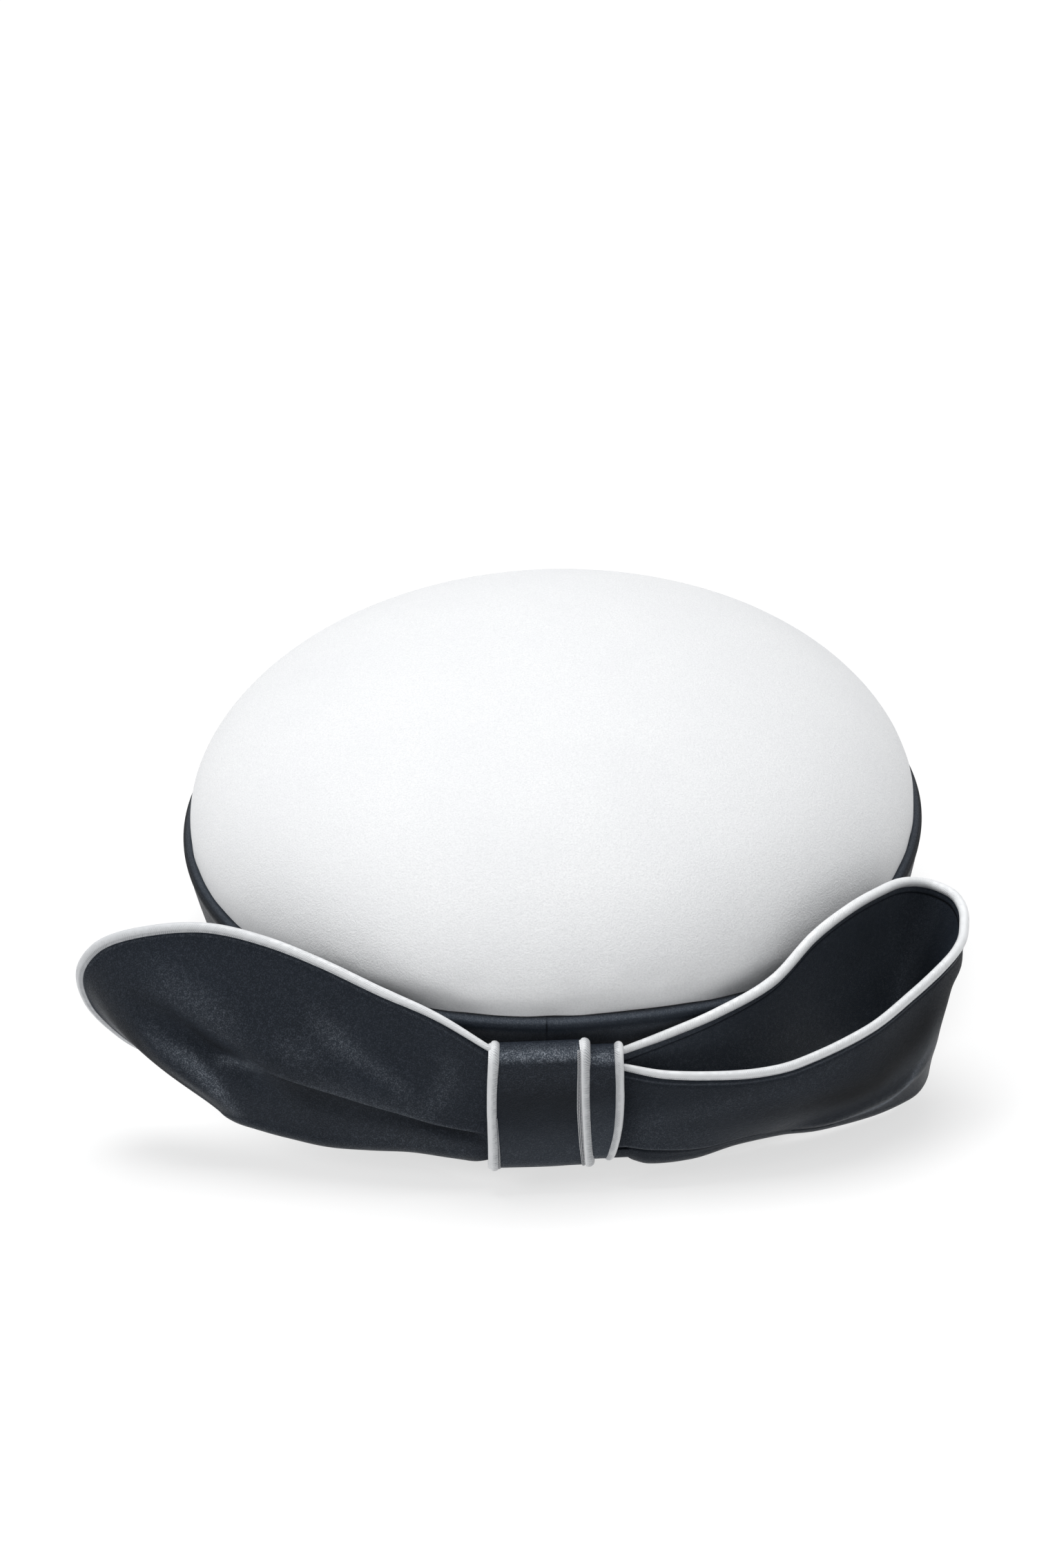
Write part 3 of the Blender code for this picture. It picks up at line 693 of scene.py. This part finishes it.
def make_crown(material):
    """The dome with its edge rolled in above the side band, and its inner face."""
    turn = round_turn(CROWN_COLUMNS)
    front = np.maximum(-np.sin(turn), 0.0)
    top = 0.5 * math.pi - POLE_GAP
    rings = []
    for share in np.linspace(1.0, 0.0, CROWN_RINGS):
        lift = top * share ** CROWN_CROWDING
        wide = math.cos(lift)
        rise = math.sin(lift)
        above = rise * CROWN_RISE
        roll = EDGE_ROLL * (1.0 - smoothstep(above, 0.0, EDGE_ROLL_RISE)) ** 2
        roll = roll * (0.4 + 0.6 * front ** 2)
        x = (SEAM_HALF_WIDTH * wide - roll) * np.cos(turn)
        y = (SEAM_HALF_LENGTH * wide - roll) * np.sin(turn)
        soft = 0.00018 * lattice(x * 30.0 + 9.0, y * 30.0 + 5.0, 3)
        soft += 0.00007 * lattice(x * 75.0 + 2.0, y * 75.0 + 7.0, 4)
        near_seam = math.exp(-((above / PUCKER_REACH) ** 2)) * (0.25 + 0.75 * front ** 4)
        level = np.full(len(turn), above / PUCKER_RISE)
        pucker = lattice(turn * SEAM_HALF_WIDTH / PUCKER_LENGTH, level, 5)
        pucker = pucker * near_seam * PUCKER_HEIGHT
        z = dome_height(CROWN_RISE, rise, turn) + soft * rise
        rings.append(np.stack([x + pucker * np.cos(turn), y + pucker * np.sin(turn), z], -1))
    for lift in np.linspace(0.0, top, CROWN_INNER_RINGS):
        x = (SEAM_HALF_WIDTH - CROWN_WALL) * math.cos(lift) * np.cos(turn)
        y = (SEAM_HALF_LENGTH - CROWN_WALL) * math.cos(lift) * np.sin(turn)
        rings.append(np.stack([x, y, dome_height(CROWN_RISE - CROWN_WALL, math.sin(lift), turn)], -1))
    uv = (np.arange(len(rings)) * 0.0016, turn * SEAM_HALF_WIDTH)
    mesh = skin("crown_cloth", np.array(rings), uv, across_closed=True, caps=True)
    piece("crown_cloth", mesh, material, ["crown"])


def make_side_band(material):
    """The band: a shoulder roll under the crown, a soft wall and a turned rim."""
    turn = np.sort(np.append(round_turn(BAND_COLUMNS), NOTCH_TURN + NOTCH_STEPS))
    notch = bell(turn, NOTCH_TURN, NOTCH_SPREAD)
    heights, bulges, tucks = np.array(SIDE_LEVELS).T
    outs = bulges * SHOULDER_BULGE - tucks * RIM_TUCK
    run = np.append(0.0, np.cumsum(np.hypot(np.diff(outs), np.diff(heights) * SIDE_HEIGHT)))
    places = np.unique(np.append(np.linspace(0.0, run[-1], BAND_STEPS), run))
    outer = through(np.stack([outs, heights], -1), run, places)
    inner = outer[::-1].copy()
    inner[:, 0] -= SIDE_WALL * np.interp(inner[:, 1], (0.0, 0.02, 0.98, 1.0), (0.75, 1.0, 1.0, 0.75))
    profile = np.concatenate([outer, inner])
    rings = []
    for k, (out, share) in enumerate(profile):
        wave = lattice(turn / (math.tau) * BAND_WAVES, np.full(len(turn), share * 2.0), 11)
        push = wave * BAND_WAVE_HEIGHT * math.sin(math.pi * min(max(share, 0.0), 1.0))
        if k < len(outer):
            push = push - notch * NOTCH_DEPTH * smoothstep(share, 0.88, 0.96)
        up = share * SIDE_HEIGHT - sag(turn) * smoothstep(share, 0.5, 1.0)
        rings.append(oval(out + push, up, turn))
    uv = (np.arange(len(rings)) * 0.0007, turn * SEAM_HALF_WIDTH)
    mesh = skin("side_band_cloth", np.array(rings), uv, across_closed=True, along_closed=True)
    level = profile[:, 1]
    facing = np.maximum(-np.sin(turn), 0.0)
    # Painted light and shade: a painted highlight along the top under the crown, painted shade below
    # the shoulder, lighter towards the front and darker towards the sides; the notch is darker too
    tone = 1.3 * bell(level, 0.996, 0.006) - 0.55 * bell(level, 0.967, 0.022)
    tones = tone[:, None] + (0.55 * facing ** 4 - 0.4 * (1.0 - facing) ** 2)[None, :]
    tones[len(outer):] = 0.0
    joined = notch[None, :] * smoothstep(level, 0.92, 0.97)[:, None]
    tint(mesh, tone=tones - joined, calm=np.full(tones.shape, CALM))
    piece("side_band_cloth", mesh, material, ["side_band"])


# The bow's layout, worked out as in the model


def side_out(height):
    """How far out of the seam the model's band stands, at a height near its shoulder."""
    share = height / SIDE_HEIGHT
    bulge = np.interp(share, (0.75, 0.92, 0.98, 1.0), (0.70, 1.0, 0.85, 0.20))
    tuck = np.interp(share, (0.75, 0.92, 0.98), (0.18, 0.02, 0.0))
    return bulge * SHOULDER_BULGE - tuck * RIM_TUCK


def knot_lean(height):
    return KNOT_LEAN * (1.0 - (height - KNOT_LIFT) / KNOT_HEIGHT)


def knot_back_out():
    high = KNOT_LIFT + KNOT_HEIGHT - KNOT_DEPTH / 2.0
    return side_out(high) + GAP + knot_lean(high)


def back_layer_out():
    return knot_back_out() + KNOT_CLOTH + GAP + BOW_CLOTH / 2.0


def front_layer_out():
    return back_layer_out() + BOW_CLOTH + LAYER_GAP


def knot_half_width():
    cords = 2.0 * (LEFT_KNOT_PIPING + MIDDLE_KNOT_PIPING + RIGHT_KNOT_PIPING)
    return (WRAP_WIDTH + UNDER_WRAP_WIDTH + cords + 4.0 * GAP) / 2.0


def place_section(section, loop, layer_out):
    """A section's rim and foot in the hat's frame, then its four other columns."""
    start = knot_half_width() + loop.side * KNOT_SHIFT + GAP
    row = []
    for along, out, up in (section[0:3], section[3:6]):
        height = KNOT_LIFT + up * KNOT_HEIGHT
        if along > 0.0:
            distance = loop.side * (start + along * (loop.reach - start))
            angle = distance * 2.0 / (SEAM_HALF_WIDTH + SEAM_HALF_LENGTH)
            off = layer_out + out * loop.spread
            x = (SEAM_HALF_WIDTH + off) * math.sin(angle)
            y = -(SEAM_HALF_LENGTH + off) * math.cos(angle)
        else:
            x = loop.side * start
            y = -(SEAM_HALF_LENGTH + layer_out - knot_lean(height))
        row += [x, y, height]
    return row + list(section[6:])


def loop_rows(loop):
    """Close rows through a loop's sections, and each row's share of the loop's length."""
    rows = np.array([
        place_section(Section(*row), loop, layer_out)
        for table, layer_out in ((loop.front, front_layer_out()), (loop.back, back_layer_out()))
        for row in table
    ])
    knots = along_path(rows[:, :3])
    places = np.linspace(0.0, knots[-1], int(knots[-1] / ROW_STEP) + 1)
    return through(rows, knots, places), places / knots[-1]


# The bow's loops


def fold_line(middle, depth, overlap, recess):
    """A flat S in (across, outward): over the edge, back under it, and on again."""
    r = depth / 4.0
    a, b = middle
    places = []
    for k in range(FOLD_COUNT):
        t = k / (FOLD_COUNT - 1)
        if t < 0.3:
            turn = math.pi * t / 0.3
            places.append((a + r * math.sin(turn), b - r + r * math.cos(turn)))
        elif t < 0.45:
            share = (t - 0.3) / 0.15
            places.append((a - overlap * share, b - 2.0 * r))
        elif t < 0.75:
            turn = math.pi * (t - 0.45) / 0.3
            places.append((a - overlap - r * math.sin(turn), b - 3.0 * r + r * math.cos(turn)))
        else:
            share = (t - 0.75) / 0.25
            places.append((a - overlap + (overlap + 0.0012) * share, b - 4.0 * r - recess * share))
    return np.array(places)


def wave_lift(width, line, along, across):
    """How high a wave lifts the cloth at one place along the loop and several across."""
    knots = np.arange(len(line)) * 1.0
    line = through(line, knots, np.linspace(0.0, knots[-1], 40))
    spots = line[:, :2] * (WAVE_LENGTH, WAVE_SECTION)
    places = np.stack([np.full_like(across, along * WAVE_LENGTH), across * WAVE_SECTION], -1)
    off = np.linalg.norm(places[:, None] - spots[None], axis=-1) / width
    near = np.exp(-(off ** 2))
    best = np.exp(-8.0 * (off - off.min(axis=1, keepdims=True)))
    height = (best @ line[:, 2]) / best.sum(axis=1)
    return height * near.max(axis=1)


def loop_painted_light(tucks, shares, loop):
    """The painted light and shade over a loop's outer and inner face, row by row."""
    across = [np.linspace(0.0, PAINTED_LIGHT_BOUNDS[1], len(EDGE_STEPS))]
    for k, count in enumerate((PANEL_COUNT, FOLD_COUNT, LOWER_COUNT, TAIL_COUNT), 1):
        across.append(np.linspace(PAINTED_LIGHT_BOUNDS[k], PAINTED_LIGHT_BOUNDS[k + 1], count + 1)[1:])
    across = np.concatenate(across)
    # Painted highlight on the pleat's lip, and painted shade under it that fades out below
    pleat_painted_light = np.zeros(len(across))
    start = len(EDGE_STEPS) + PANEL_COUNT
    pleat_painted_light[start - 3: start + 6] = LIP_PAINTED_HIGHLIGHT * np.hanning(9)
    pleat_painted_light[start + 6: start + FOLD_COUNT] = PLEAT_PAINTED_SHADE
    after = start + FOLD_COUNT
    pleat_painted_light[after: after + 6] = PLEAT_PAINTED_SHADE * (1.0 - np.arange(1, 7) / 7.0)
    column = np.arange(len(across))
    # Painted highlight on the roll beside the cord
    roll = loop.seam * ROLL_PAINTED_HIGHLIGHT * bell(column, 5.0, 1.6)
    tones = []
    for tuck, share in zip(tucks, shares):
        folded = smoothstep(tuck, 0.12, 0.6)
        tone = roll + folded * pleat_painted_light
        for width, line in loop.tones:
            tone = tone + wave_lift(width, line, share, across)
        tones.append(tone)
    # Inner face: a painted highlight on the roll beside the cord, painted shade in the gap next to
    # it, and painted light that lifts the shaded inside, more so deeper in and less at the tip
    roll_highlight_and_gap_shade = 0.5 * bell(column, 5.5, 1.2) - 1.4 * bell(column, 8.0, 0.8)
    tip = bell(shares, 0.515, 0.045)[:, None]
    deep = smoothstep(across, 0.05, 0.60)[None, :]
    inner = (INNER_PAINTED_LIGHT + DEEP_PAINTED_LIGHT * deep) * (1.0 - 1.1 * tip)
    inner = inner + 0.4 * bell(shares, 0.60, 0.04)[:, None]
    inner = inner + 0.5 * smoothstep(shares, 0.84, 0.97)[:, None]
    return np.array(tones), inner + roll_highlight_and_gap_shade[None, :]


def loop_sheet(rows, shares, loop):
    """The cloth's middle surface, half its thickness and its run across, row by row."""
    rim = rows[:, 0:3]
    foot = rows[:, 3:6]
    tangent = unit(np.gradient(rim, axis=0))
    across = unit(foot - rim)
    out = unit(np.cross(tangent, across)) * -loop.side
    beside = unit(across - tangent * np.sum(across * tangent, axis=1, keepdims=True))
    edge = rim + beside * (LOOP_PIPING * 0.4)
    middle = []
    half = []
    for i in range(len(rows)):
        belly, turn, crease, tuck = rows[i, 6:10]
        tuck = max(tuck, 0.0)
        length = np.linalg.norm(foot[i] - edge[i])
        near = EDGE_STEPS / length
        upper = near[-1] + (crease - near[-1]) * steps_to_one(PANEL_COUNT)
        upper = np.concatenate([near, upper])
        over = crease + FOLD_SHARE
        recess = tuck * PLEAT_RECESS
        lower = over + (1.0 - over) * steps_to_one(LOWER_COUNT)

        def height(s):
            lift = belly * FULLNESS * np.sin(math.pi * s)
            for width, line in loop.waves:
                lift = lift + wave_lift(width, line, shares[i], s)
            return lift

        depth = tuck * PLEAT_DEPTH
        top = np.stack([upper * length, height(upper) + depth * (upper / crease) ** 2], -1)
        steps = steps_to_one(FOLD_COUNT)
        plain = crease + FOLD_SHARE * steps
        level = np.stack([plain * length, height(plain) + depth * (1.0 - steps) ** 2], -1)
        folded = fold_line(top[-1], max(depth, 1e-5), tuck * PLEAT_OVERLAP, recess)
        share = smoothstep(tuck, 0.12, 0.45)
        bend = level * (1.0 - share) + folded * share
        sunk = recess * (1.0 - smoothstep(lower, over - 0.02, 0.5 + 0.5 * over))
        below = np.stack([lower * length, height(lower) - sunk], -1)
        flat = np.concatenate([top, bend, below])
        points = edge[i] + across[i] * flat[:, :1] + out[i] * flat[:, 1:]
        tail = [points[-1]]
        stride = TURN_LENGTH * (LEAST_TURN + (1.0 - LEAST_TURN) * turn) / TAIL_COUNT
        for k in range(TAIL_COUNT):
            angle = TURN_ANGLE * turn * (k + 0.5) / TAIL_COUNT
            step = across[i] * math.cos(angle) - out[i] * math.sin(angle)
            tail.append(tail[-1] + step * stride)
        middle.append(np.concatenate([points, tail[1:]]))
        distance = along_path(middle[-1])
        thick = np.full(len(distance), CLOTH / 2.0)
        thick[len(top): len(top) + FOLD_COUNT] -= share * (CLOTH - PLEAT_CLOTH) / 2.0
        for rise, place, spread in SEAM_FORMS:
            thick += loop.seam * rise * bell(distance, place, spread)
        for to_edge in (distance, distance[-1] - distance):
            thick *= rounded(to_edge, CLOTH_ROUNDING, 0.02)
        half.append(thick)
    return np.array(middle), np.array(half), rim, beside


def run_into_knot(middle, target):
    """Adds rows at both ends that carry the cloth on towards the middle of the knot."""
    def carried(row, share):
        copy = row.copy()
        copy[:, 0] = target * share + copy[:, 0] * (1.0 - share)
        return copy

    first = [carried(middle[0], share) for share in ROWS_INTO_KNOT]
    last = [carried(middle[-1], share) for share in reversed(ROWS_INTO_KNOT)]
    return np.concatenate([first, middle, last])


def make_loop(loop, material):
    rows, shares = loop_rows(loop)
    middle, half, rim, beside = loop_sheet(rows, shares, loop)
    added = len(ROWS_INTO_KNOT)
    half, outer_painted_light, inner_painted_light = (
        np.pad(grid, ((added, added), (0, 0)), mode="edge")
        for grid in (half, *loop_painted_light(rows[:, 9], shares, loop))
    )
    middle = run_into_knot(middle, loop.side * GAP + KNOT_SHIFT)
    normal = unit(np.cross(np.gradient(middle, axis=0), np.gradient(middle, axis=1))) * -loop.side
    run = np.arange(len(middle)) * ROW_STEP
    across = along_path(middle[40])
    calms = [np.full(half.shape, calm) for calm in (loop.calm, CALM)]
    made = cloth(
        f"bow_cloth_{loop.name}", middle, normal, half, (run, across),
        (outer_painted_light, inner_painted_light), calms, material, [f"bow_loop_{loop.name}"],
    )
    return rim, beside


def cord_profile(count, length, radius, ridge_at, ridge, step):
    """Radii round a cord that has a small ridge where its cloth is folded in."""
    angles = round_turn(count)
    off = (angles - ridge_at + math.pi) % (math.tau) - math.pi
    shape = 1.0 + ridge * bell(off, 0.0, 0.20) - 0.5 * ridge * (
        bell(off, 0.48, 0.18) + bell(off, -0.48, 0.18)
    )
    along = np.arange(length) * step
    uneven = 1.0 + 0.030 * lattice(along / 0.007, np.full(length, ridge_at + 3.0), 21)
    uneven += 0.012 * lattice(along / 0.0022, np.full(length, ridge_at + 6.0), 22)
    ends = np.ones(length)
    for k, share in enumerate((0.35, 0.75, 0.93)):
        ends[k] = share
        ends[-1 - k] = share
    return radius * shape[None, :] * (uneven * ends)[:, None]


def into_knot(end, side, drop):
    """Points that carry a cord on from a loop's end into the knot, the last one first."""
    inward = np.array((-side * CORD_RUN, CORD_RUN_BACK, -drop))
    return np.array([end + inward * share for share in CORD_INTO_KNOT])


def make_loop_piping(loop, rim, beside, material):
    first = into_knot(rim[0], loop.side, loop.drops[0])
    last = into_knot(rim[-1], loop.side, loop.drops[1])[::-1]
    path = np.concatenate([first, rim, last])
    beside = np.pad(beside, ((len(first), len(last)), (0, 0)), mode="edge")
    profile = cord_profile(
        LOOP_CORD_SIDES, len(path), LOOP_PIPING, -LOOP_RIDGE_AT * loop.side, LOOP_RIDGE, ROW_STEP
    )
    share = np.linspace(0.0, 1.0, len(path))
    size = np.interp(share, *np.array(loop.sizes).T)
    path = path - beside * (LOOP_PIPING * (1.0 - size))[:, None]
    profile *= size[:, None]
    # Painted shade that greys the cord along its length
    tones = np.interp(share, *np.array(loop.cord_tones).T)
    swept(
        f"loop_cord_{loop.name}", path, beside, profile, 0.0, tones, material,
        f"loop_piping_{loop.name}",
    )


# The knot


def knot_frame(inset):
    radius = KNOT_DEPTH / 2.0
    depth = SEAM_HALF_LENGTH + knot_back_out() + radius
    low = KNOT_LIFT + inset + radius
    high = KNOT_LIFT + KNOT_HEIGHT - inset - radius
    top = np.array((0.0, knot_lean(high) - depth, high))
    bottom = np.array((0.0, knot_lean(low) - depth, low))
    rise = unit(top - bottom)
    back = np.array((0.0, rise[2], -rise[1]))
    return top, bottom, rise, back


def fall_to(height):
    """The share of the way down the knot."""
    return np.clip(1.0 - (height - KNOT_LIFT) / KNOT_HEIGHT, 0.0, 1.0)


def edge_x(edge, height):
    fall = fall_to(height)
    swing = edge.swing * KNOT_STRAY * np.sin(math.pi * fall)
    return edge.place - swing - edge.drift * KNOT_STRAY * fall ** DRIFT_POWER


def knot_turn(inset, radius, overreach, bend, bar):
    """The way round the knot in its own plane: places and the way out at each."""
    top, bottom, rise, back = knot_frame(inset)
    first = math.pi / 2.0 - overreach
    places = []
    ways = []
    for centre, begin, end in ((top, first, math.pi), (bottom, math.pi, math.tau - first)):
        for angle in np.linspace(begin, end, bend + 1):
            way = math.cos(angle) * back + math.sin(angle) * rise
            places.append(centre + radius * way)
            ways.append(way)
        if centre is top:
            start = places[-1]
            stop = bottom - radius * back
            for share in np.linspace(0.0, 1.0, bar + 1)[1:-1]:
                places.append(start + (stop - start) * share)
                ways.append(-back)
    return np.array(places), np.array(ways)


def make_wrap(name, left, right, inset, bulge, lower_painted_sheen, seed, material, node):
    """A band of cloth drawn tight all round the middle of the bow."""
    radius = KNOT_DEPTH / 2.0 - KNOT_CLOTH / 2.0
    places, ways = knot_turn(inset, radius, math.pi / 2.0, 14, 40)
    to_start = places[0] - places[-1]
    extra = [places[-1] + to_start * share for share in np.linspace(0, 1, 14)[1:-1]]
    places = np.concatenate([places, extra])
    ways = np.concatenate([ways, np.repeat(ways[:1], len(extra), axis=0)])
    s = 0.5 - 0.5 * np.cos(math.pi * np.linspace(0.0, 1.0, WRAP_COLUMNS))
    x_left = edge_x(left, places[:, 2])[:, None]
    x_right = edge_x(right, places[:, 2])[:, None]
    middle = np.repeat(places[:, None], WRAP_COLUMNS, axis=1)
    middle[..., 0] = x_left + (x_right - x_left) * s
    run = along_path(places)
    wave = lattice(
        s[None, :] * 3.0 + run[:, None] * 60.0, run[:, None] * 130.0 + s[None, :] * 1.5, seed
    )
    front = smoothstep(-ways[:, 1], 0.1, 0.8)[:, None]
    lift = bulge * np.sin(math.pi * s)[None, :] ** 0.7 * front + 0.00010 * wave * front
    middle += ways[:, None] * lift[..., None]
    width = float((x_right - x_left).mean())
    from_edge = np.minimum(s, 1.0 - s) * width
    half = np.full(middle.shape[:2], KNOT_CLOTH / 2.0) * rounded(from_edge, WRAP_ROUNDING, 0.03)
    normal = np.repeat(ways[:, None], WRAP_COLUMNS, axis=1)
    tilt = np.gradient(lift, axis=1) / np.maximum(np.gradient(middle[..., 0], axis=1), 1e-5)
    normal[..., 0] -= tilt
    normal = unit(normal)
    fall = fall_to(places[:, 2])
    # Painted light and shade on the front: a painted sheen over the top bend, painted shade in a dip
    # below it, and painted light lifting the lower part
    tone = 1.35 * bell(ways[:, 2], 0.60, 0.27) + lower_painted_sheen * smoothstep(fall, 0.25, 0.5)
    tone += 0.65 * smoothstep(fall, 0.5, 0.95) - 0.30 * bell(fall, 0.38, 0.16)
    tone = (tone * (ways[:, 1] < 0.1))[:, None] * (1.0 + 0.25 * wave)
    calm = CALM * smoothstep(fall, 0.22, 0.42)[:, None] + np.zeros_like(tone)
    made = cloth(
        name, middle, normal, half, (run, s * WRAP_WIDTH), (tone, np.zeros_like(tone)),
        (calm, calm), material, [node], closed=True,
    )


def make_knot_cord(name, edge, inset, radius, ridge_at, ridge, start, swell, material):
    places, ways = knot_turn(
        inset, KNOT_DEPTH / 2.0 + PIPING_PROUD - radius, PIPING_OVERREACH, 20, 90
    )
    places[:, 0] = edge_x(edge, places[:, 2])
    profile = cord_profile(KNOT_CORD_SIDES, len(places), radius, ridge_at, ridge, KNOT_CORD_STEP)
    fall = fall_to(places[:, 2])
    width = np.interp(fall, (0.0, 0.25, 0.6, 0.85, 1.0), swell)
    profile *= width[:, None]
    # Painted shade that greys the knot's cord
    tones = np.full(len(places), KNOT_CORD_PAINTED_SHADE)
    swept(
        f"knot_cord_{name}", places, ways, profile, start, tones, material, f"knot_piping_{name}"
    )


def make_flange(name, edge, side, radius, widths):
    """The dotted woven strip that shows beside a knot cord where it is sewn in."""
    places, ways = knot_turn(0.0, KNOT_DEPTH / 2.0 + 0.00010, PIPING_OVERREACH, 16, 80)
    fall = fall_to(places[:, 2])
    width = np.interp(fall, (0.0, 0.15, 0.5, 0.8, 1.0), widths)
    keep = (fall > 0.02) & (fall < 0.985) & (width > 0.00002)
    places, ways, fall, width = places[keep], ways[keep], fall[keep], width[keep]
    s = np.linspace(0.0, 1.0, FLANGE_COLUMNS)
    middle = np.repeat(places[:, None], FLANGE_COLUMNS, axis=1)
    inside = radius * 0.7
    reach = (radius - inside + width)[:, None] * s
    middle[..., 0] = edge_x(edge, places[:, 2])[:, None] + side * (inside + reach)
    lift = FLANGE_ARCH * np.sin(math.pi * s)
    middle += ways[:, None] * lift[None, :, None]
    half = np.full(middle.shape[:2], FLANGE_CLOTH / 2.0)
    normal = np.repeat(ways[:, None], FLANGE_COLUMNS, axis=1)
    run = along_path(places)
    v = s * (radius - inside + float(width.max()))
    plain = np.zeros(middle.shape[:2])
    cloth(
        name, middle, normal, half, (run, v), (plain, plain), (plain, plain),
        flange_ribbon(name), [],
    )


def make_knot(dark, piping):
    place = KNOT_SHIFT - knot_half_width() + LEFT_KNOT_PIPING
    left_cord = Edge(place, *LEFT_SWAY)
    place += LEFT_KNOT_PIPING + GAP
    wrap_left = Edge(place, *LEFT_SWAY)
    place += WRAP_WIDTH
    wrap_right = Edge(place, *MIDDLE_SWAY)
    place += GAP + MIDDLE_KNOT_PIPING
    middle_cord = Edge(place, *MIDDLE_SWAY)
    place += MIDDLE_KNOT_PIPING + GAP
    under_left = Edge(place, *MIDDLE_SWAY)
    place += UNDER_WRAP_WIDTH
    under_right = Edge(place, *RIGHT_SWAY)
    place += GAP + RIGHT_KNOT_PIPING
    right_cord = Edge(place, *RIGHT_SWAY)
    for name, left, right, inset, bulge, lower_painted_sheen, seed, node in (
        ("knot_cloth", wrap_left, wrap_right, 0.0, 0.0002, 0.0, 31, "knot_wrap"),
        ("knot_under_cloth", under_left, under_right, UNDER_WRAP_INSET, 0.0001, 0.5, 32,
         "knot_under_wrap"),
    ):
        left = left._replace(place=left.place - WRAP_TUCK)
        right = right._replace(place=right.place + WRAP_TUCK)
        make_wrap(name, left, right, inset, bulge, lower_painted_sheen, seed, dark, node)
    for name, edge, inset, radius, ridge_at, ridge, start, swell in (
        ("left", left_cord, 0.0, LEFT_KNOT_PIPING, 1.25, 0.20, 1.1,
         (1.12, 1.02, 0.98, 1.08, 1.12)),
        ("middle", middle_cord, 0.0, MIDDLE_KNOT_PIPING, 1.25, 0.20, 1.1,
         (1.0, 1.0, 0.94, 0.98, 1.03)),
        ("right", right_cord, UNDER_WRAP_INSET, RIGHT_KNOT_PIPING, 2.0, 0.10, -1.1,
         (1.12, 1.1, 1.05, 1.0, 0.95)),
    ):
        make_knot_cord(name, edge, inset, radius, ridge_at, ridge, start, swell, piping)
    for name, cord, side, radius, widths in (
        ("middle", middle_cord, -1.0, MIDDLE_KNOT_PIPING, (0.0004, 0.0004, 0.0007, 0.0006, 0.0003)),
        ("left", left_cord, 1.0, LEFT_KNOT_PIPING, (0.0, 0.0, 0.0, 0.0003, 0.0004)),
    ):
        make_flange(f"knot_flange_{name}", cord, side, radius, widths)


def make_bow(dark, piping):
    for loop in LOOPS:
        rim, beside = make_loop(loop, dark)
        make_loop_piping(loop, rim, beside, piping)
    make_knot(dark, piping)


# Camera, floor and lights


def make_camera():
    data = bpy.data.cameras.new("camera")
    camera = add("camera", data)
    data.sensor_width = 36.0
    data.lens = FOCAL_PIXELS / FRAME_HEIGHT * data.sensor_width
    data.shift_x = -(AIM_PIXEL[0] - FRAME_WIDTH / 2.0) / FRAME_HEIGHT
    data.shift_y = (AIM_PIXEL[1] - FRAME_HEIGHT / 2.0) / FRAME_HEIGHT
    data.clip_start = 0.05
    data.clip_end = 50.0
    away = Vector((0.0, -math.cos(ELEVATION), math.sin(ELEVATION)))
    right = Vector((1.0, 0.0, 0.0))
    up = away.cross(right)
    turned_right = right * math.cos(ROLL) + up * math.sin(ROLL)
    turned_up = up * math.cos(ROLL) - right * math.sin(ROLL)
    matrix = Matrix((turned_right, turned_up, away)).transposed().to_4x4()
    matrix.translation = AIM + away * DISTANCE
    camera.matrix_world = matrix
    bpy.context.scene.camera = camera


def make_light(name, place, target, size, power, glossy=True):
    data = bpy.data.lights.new(name, "AREA")
    data.shape = "RECTANGLE"
    data.size, data.size_y = size
    data.energy = power
    light = add(name, data)
    light.visible_glossy = glossy
    light.location = place
    light.rotation_mode = "QUATERNION"
    toward = Vector(target) - Vector(place)
    light.rotation_quaternion = toward.to_track_quat("-Z", "Y")


def make_stage():
    low, high = -FLOOR_REACH, FLOOR_REACH
    corners = [(low, low, 0), (high, low, 0), (high, high, 0), (low, high, 0)]
    mesh = bpy.data.meshes.new("floor")
    mesh.from_pydata(corners, [], [(0, 1, 2, 3)])
    mesh.materials.append(floor_paper())
    floor = add("floor", mesh)
    floor.location.z = -FLOOR_DROP
    world = bpy.data.worlds.new("studio")
    world.use_nodes = True
    back = world.node_tree.nodes["Background"]
    back.inputs[0].default_value = (0.97, 0.985, 1.0, 1.0)
    back.inputs[1].default_value = 0.365
    bpy.context.scene.world = world
    make_light("key", (0.0, 0.25, 2.0), (0.0, 0.0, 0.04), (1.2, 1.2), 38.0)
    make_light("side", (-1.3, -0.6, 1.0), (0.0, 0.0, 0.04), (0.7, 0.7), 7.5, glossy=False)
    view = bpy.context.scene.view_settings
    view.view_transform = "Standard"
    view.look = "None"


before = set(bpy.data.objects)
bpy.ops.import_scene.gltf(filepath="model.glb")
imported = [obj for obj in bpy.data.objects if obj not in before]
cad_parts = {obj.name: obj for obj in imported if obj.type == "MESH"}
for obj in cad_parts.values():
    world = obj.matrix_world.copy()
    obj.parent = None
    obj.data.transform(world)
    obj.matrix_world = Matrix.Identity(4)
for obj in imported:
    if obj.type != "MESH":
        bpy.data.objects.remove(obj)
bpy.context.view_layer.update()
make_camera()
make_stage()
dark = dark_satin()
piping = piping_satin()
make_crown(crown_satin())
make_side_band(dark)
make_bow(dark, piping)
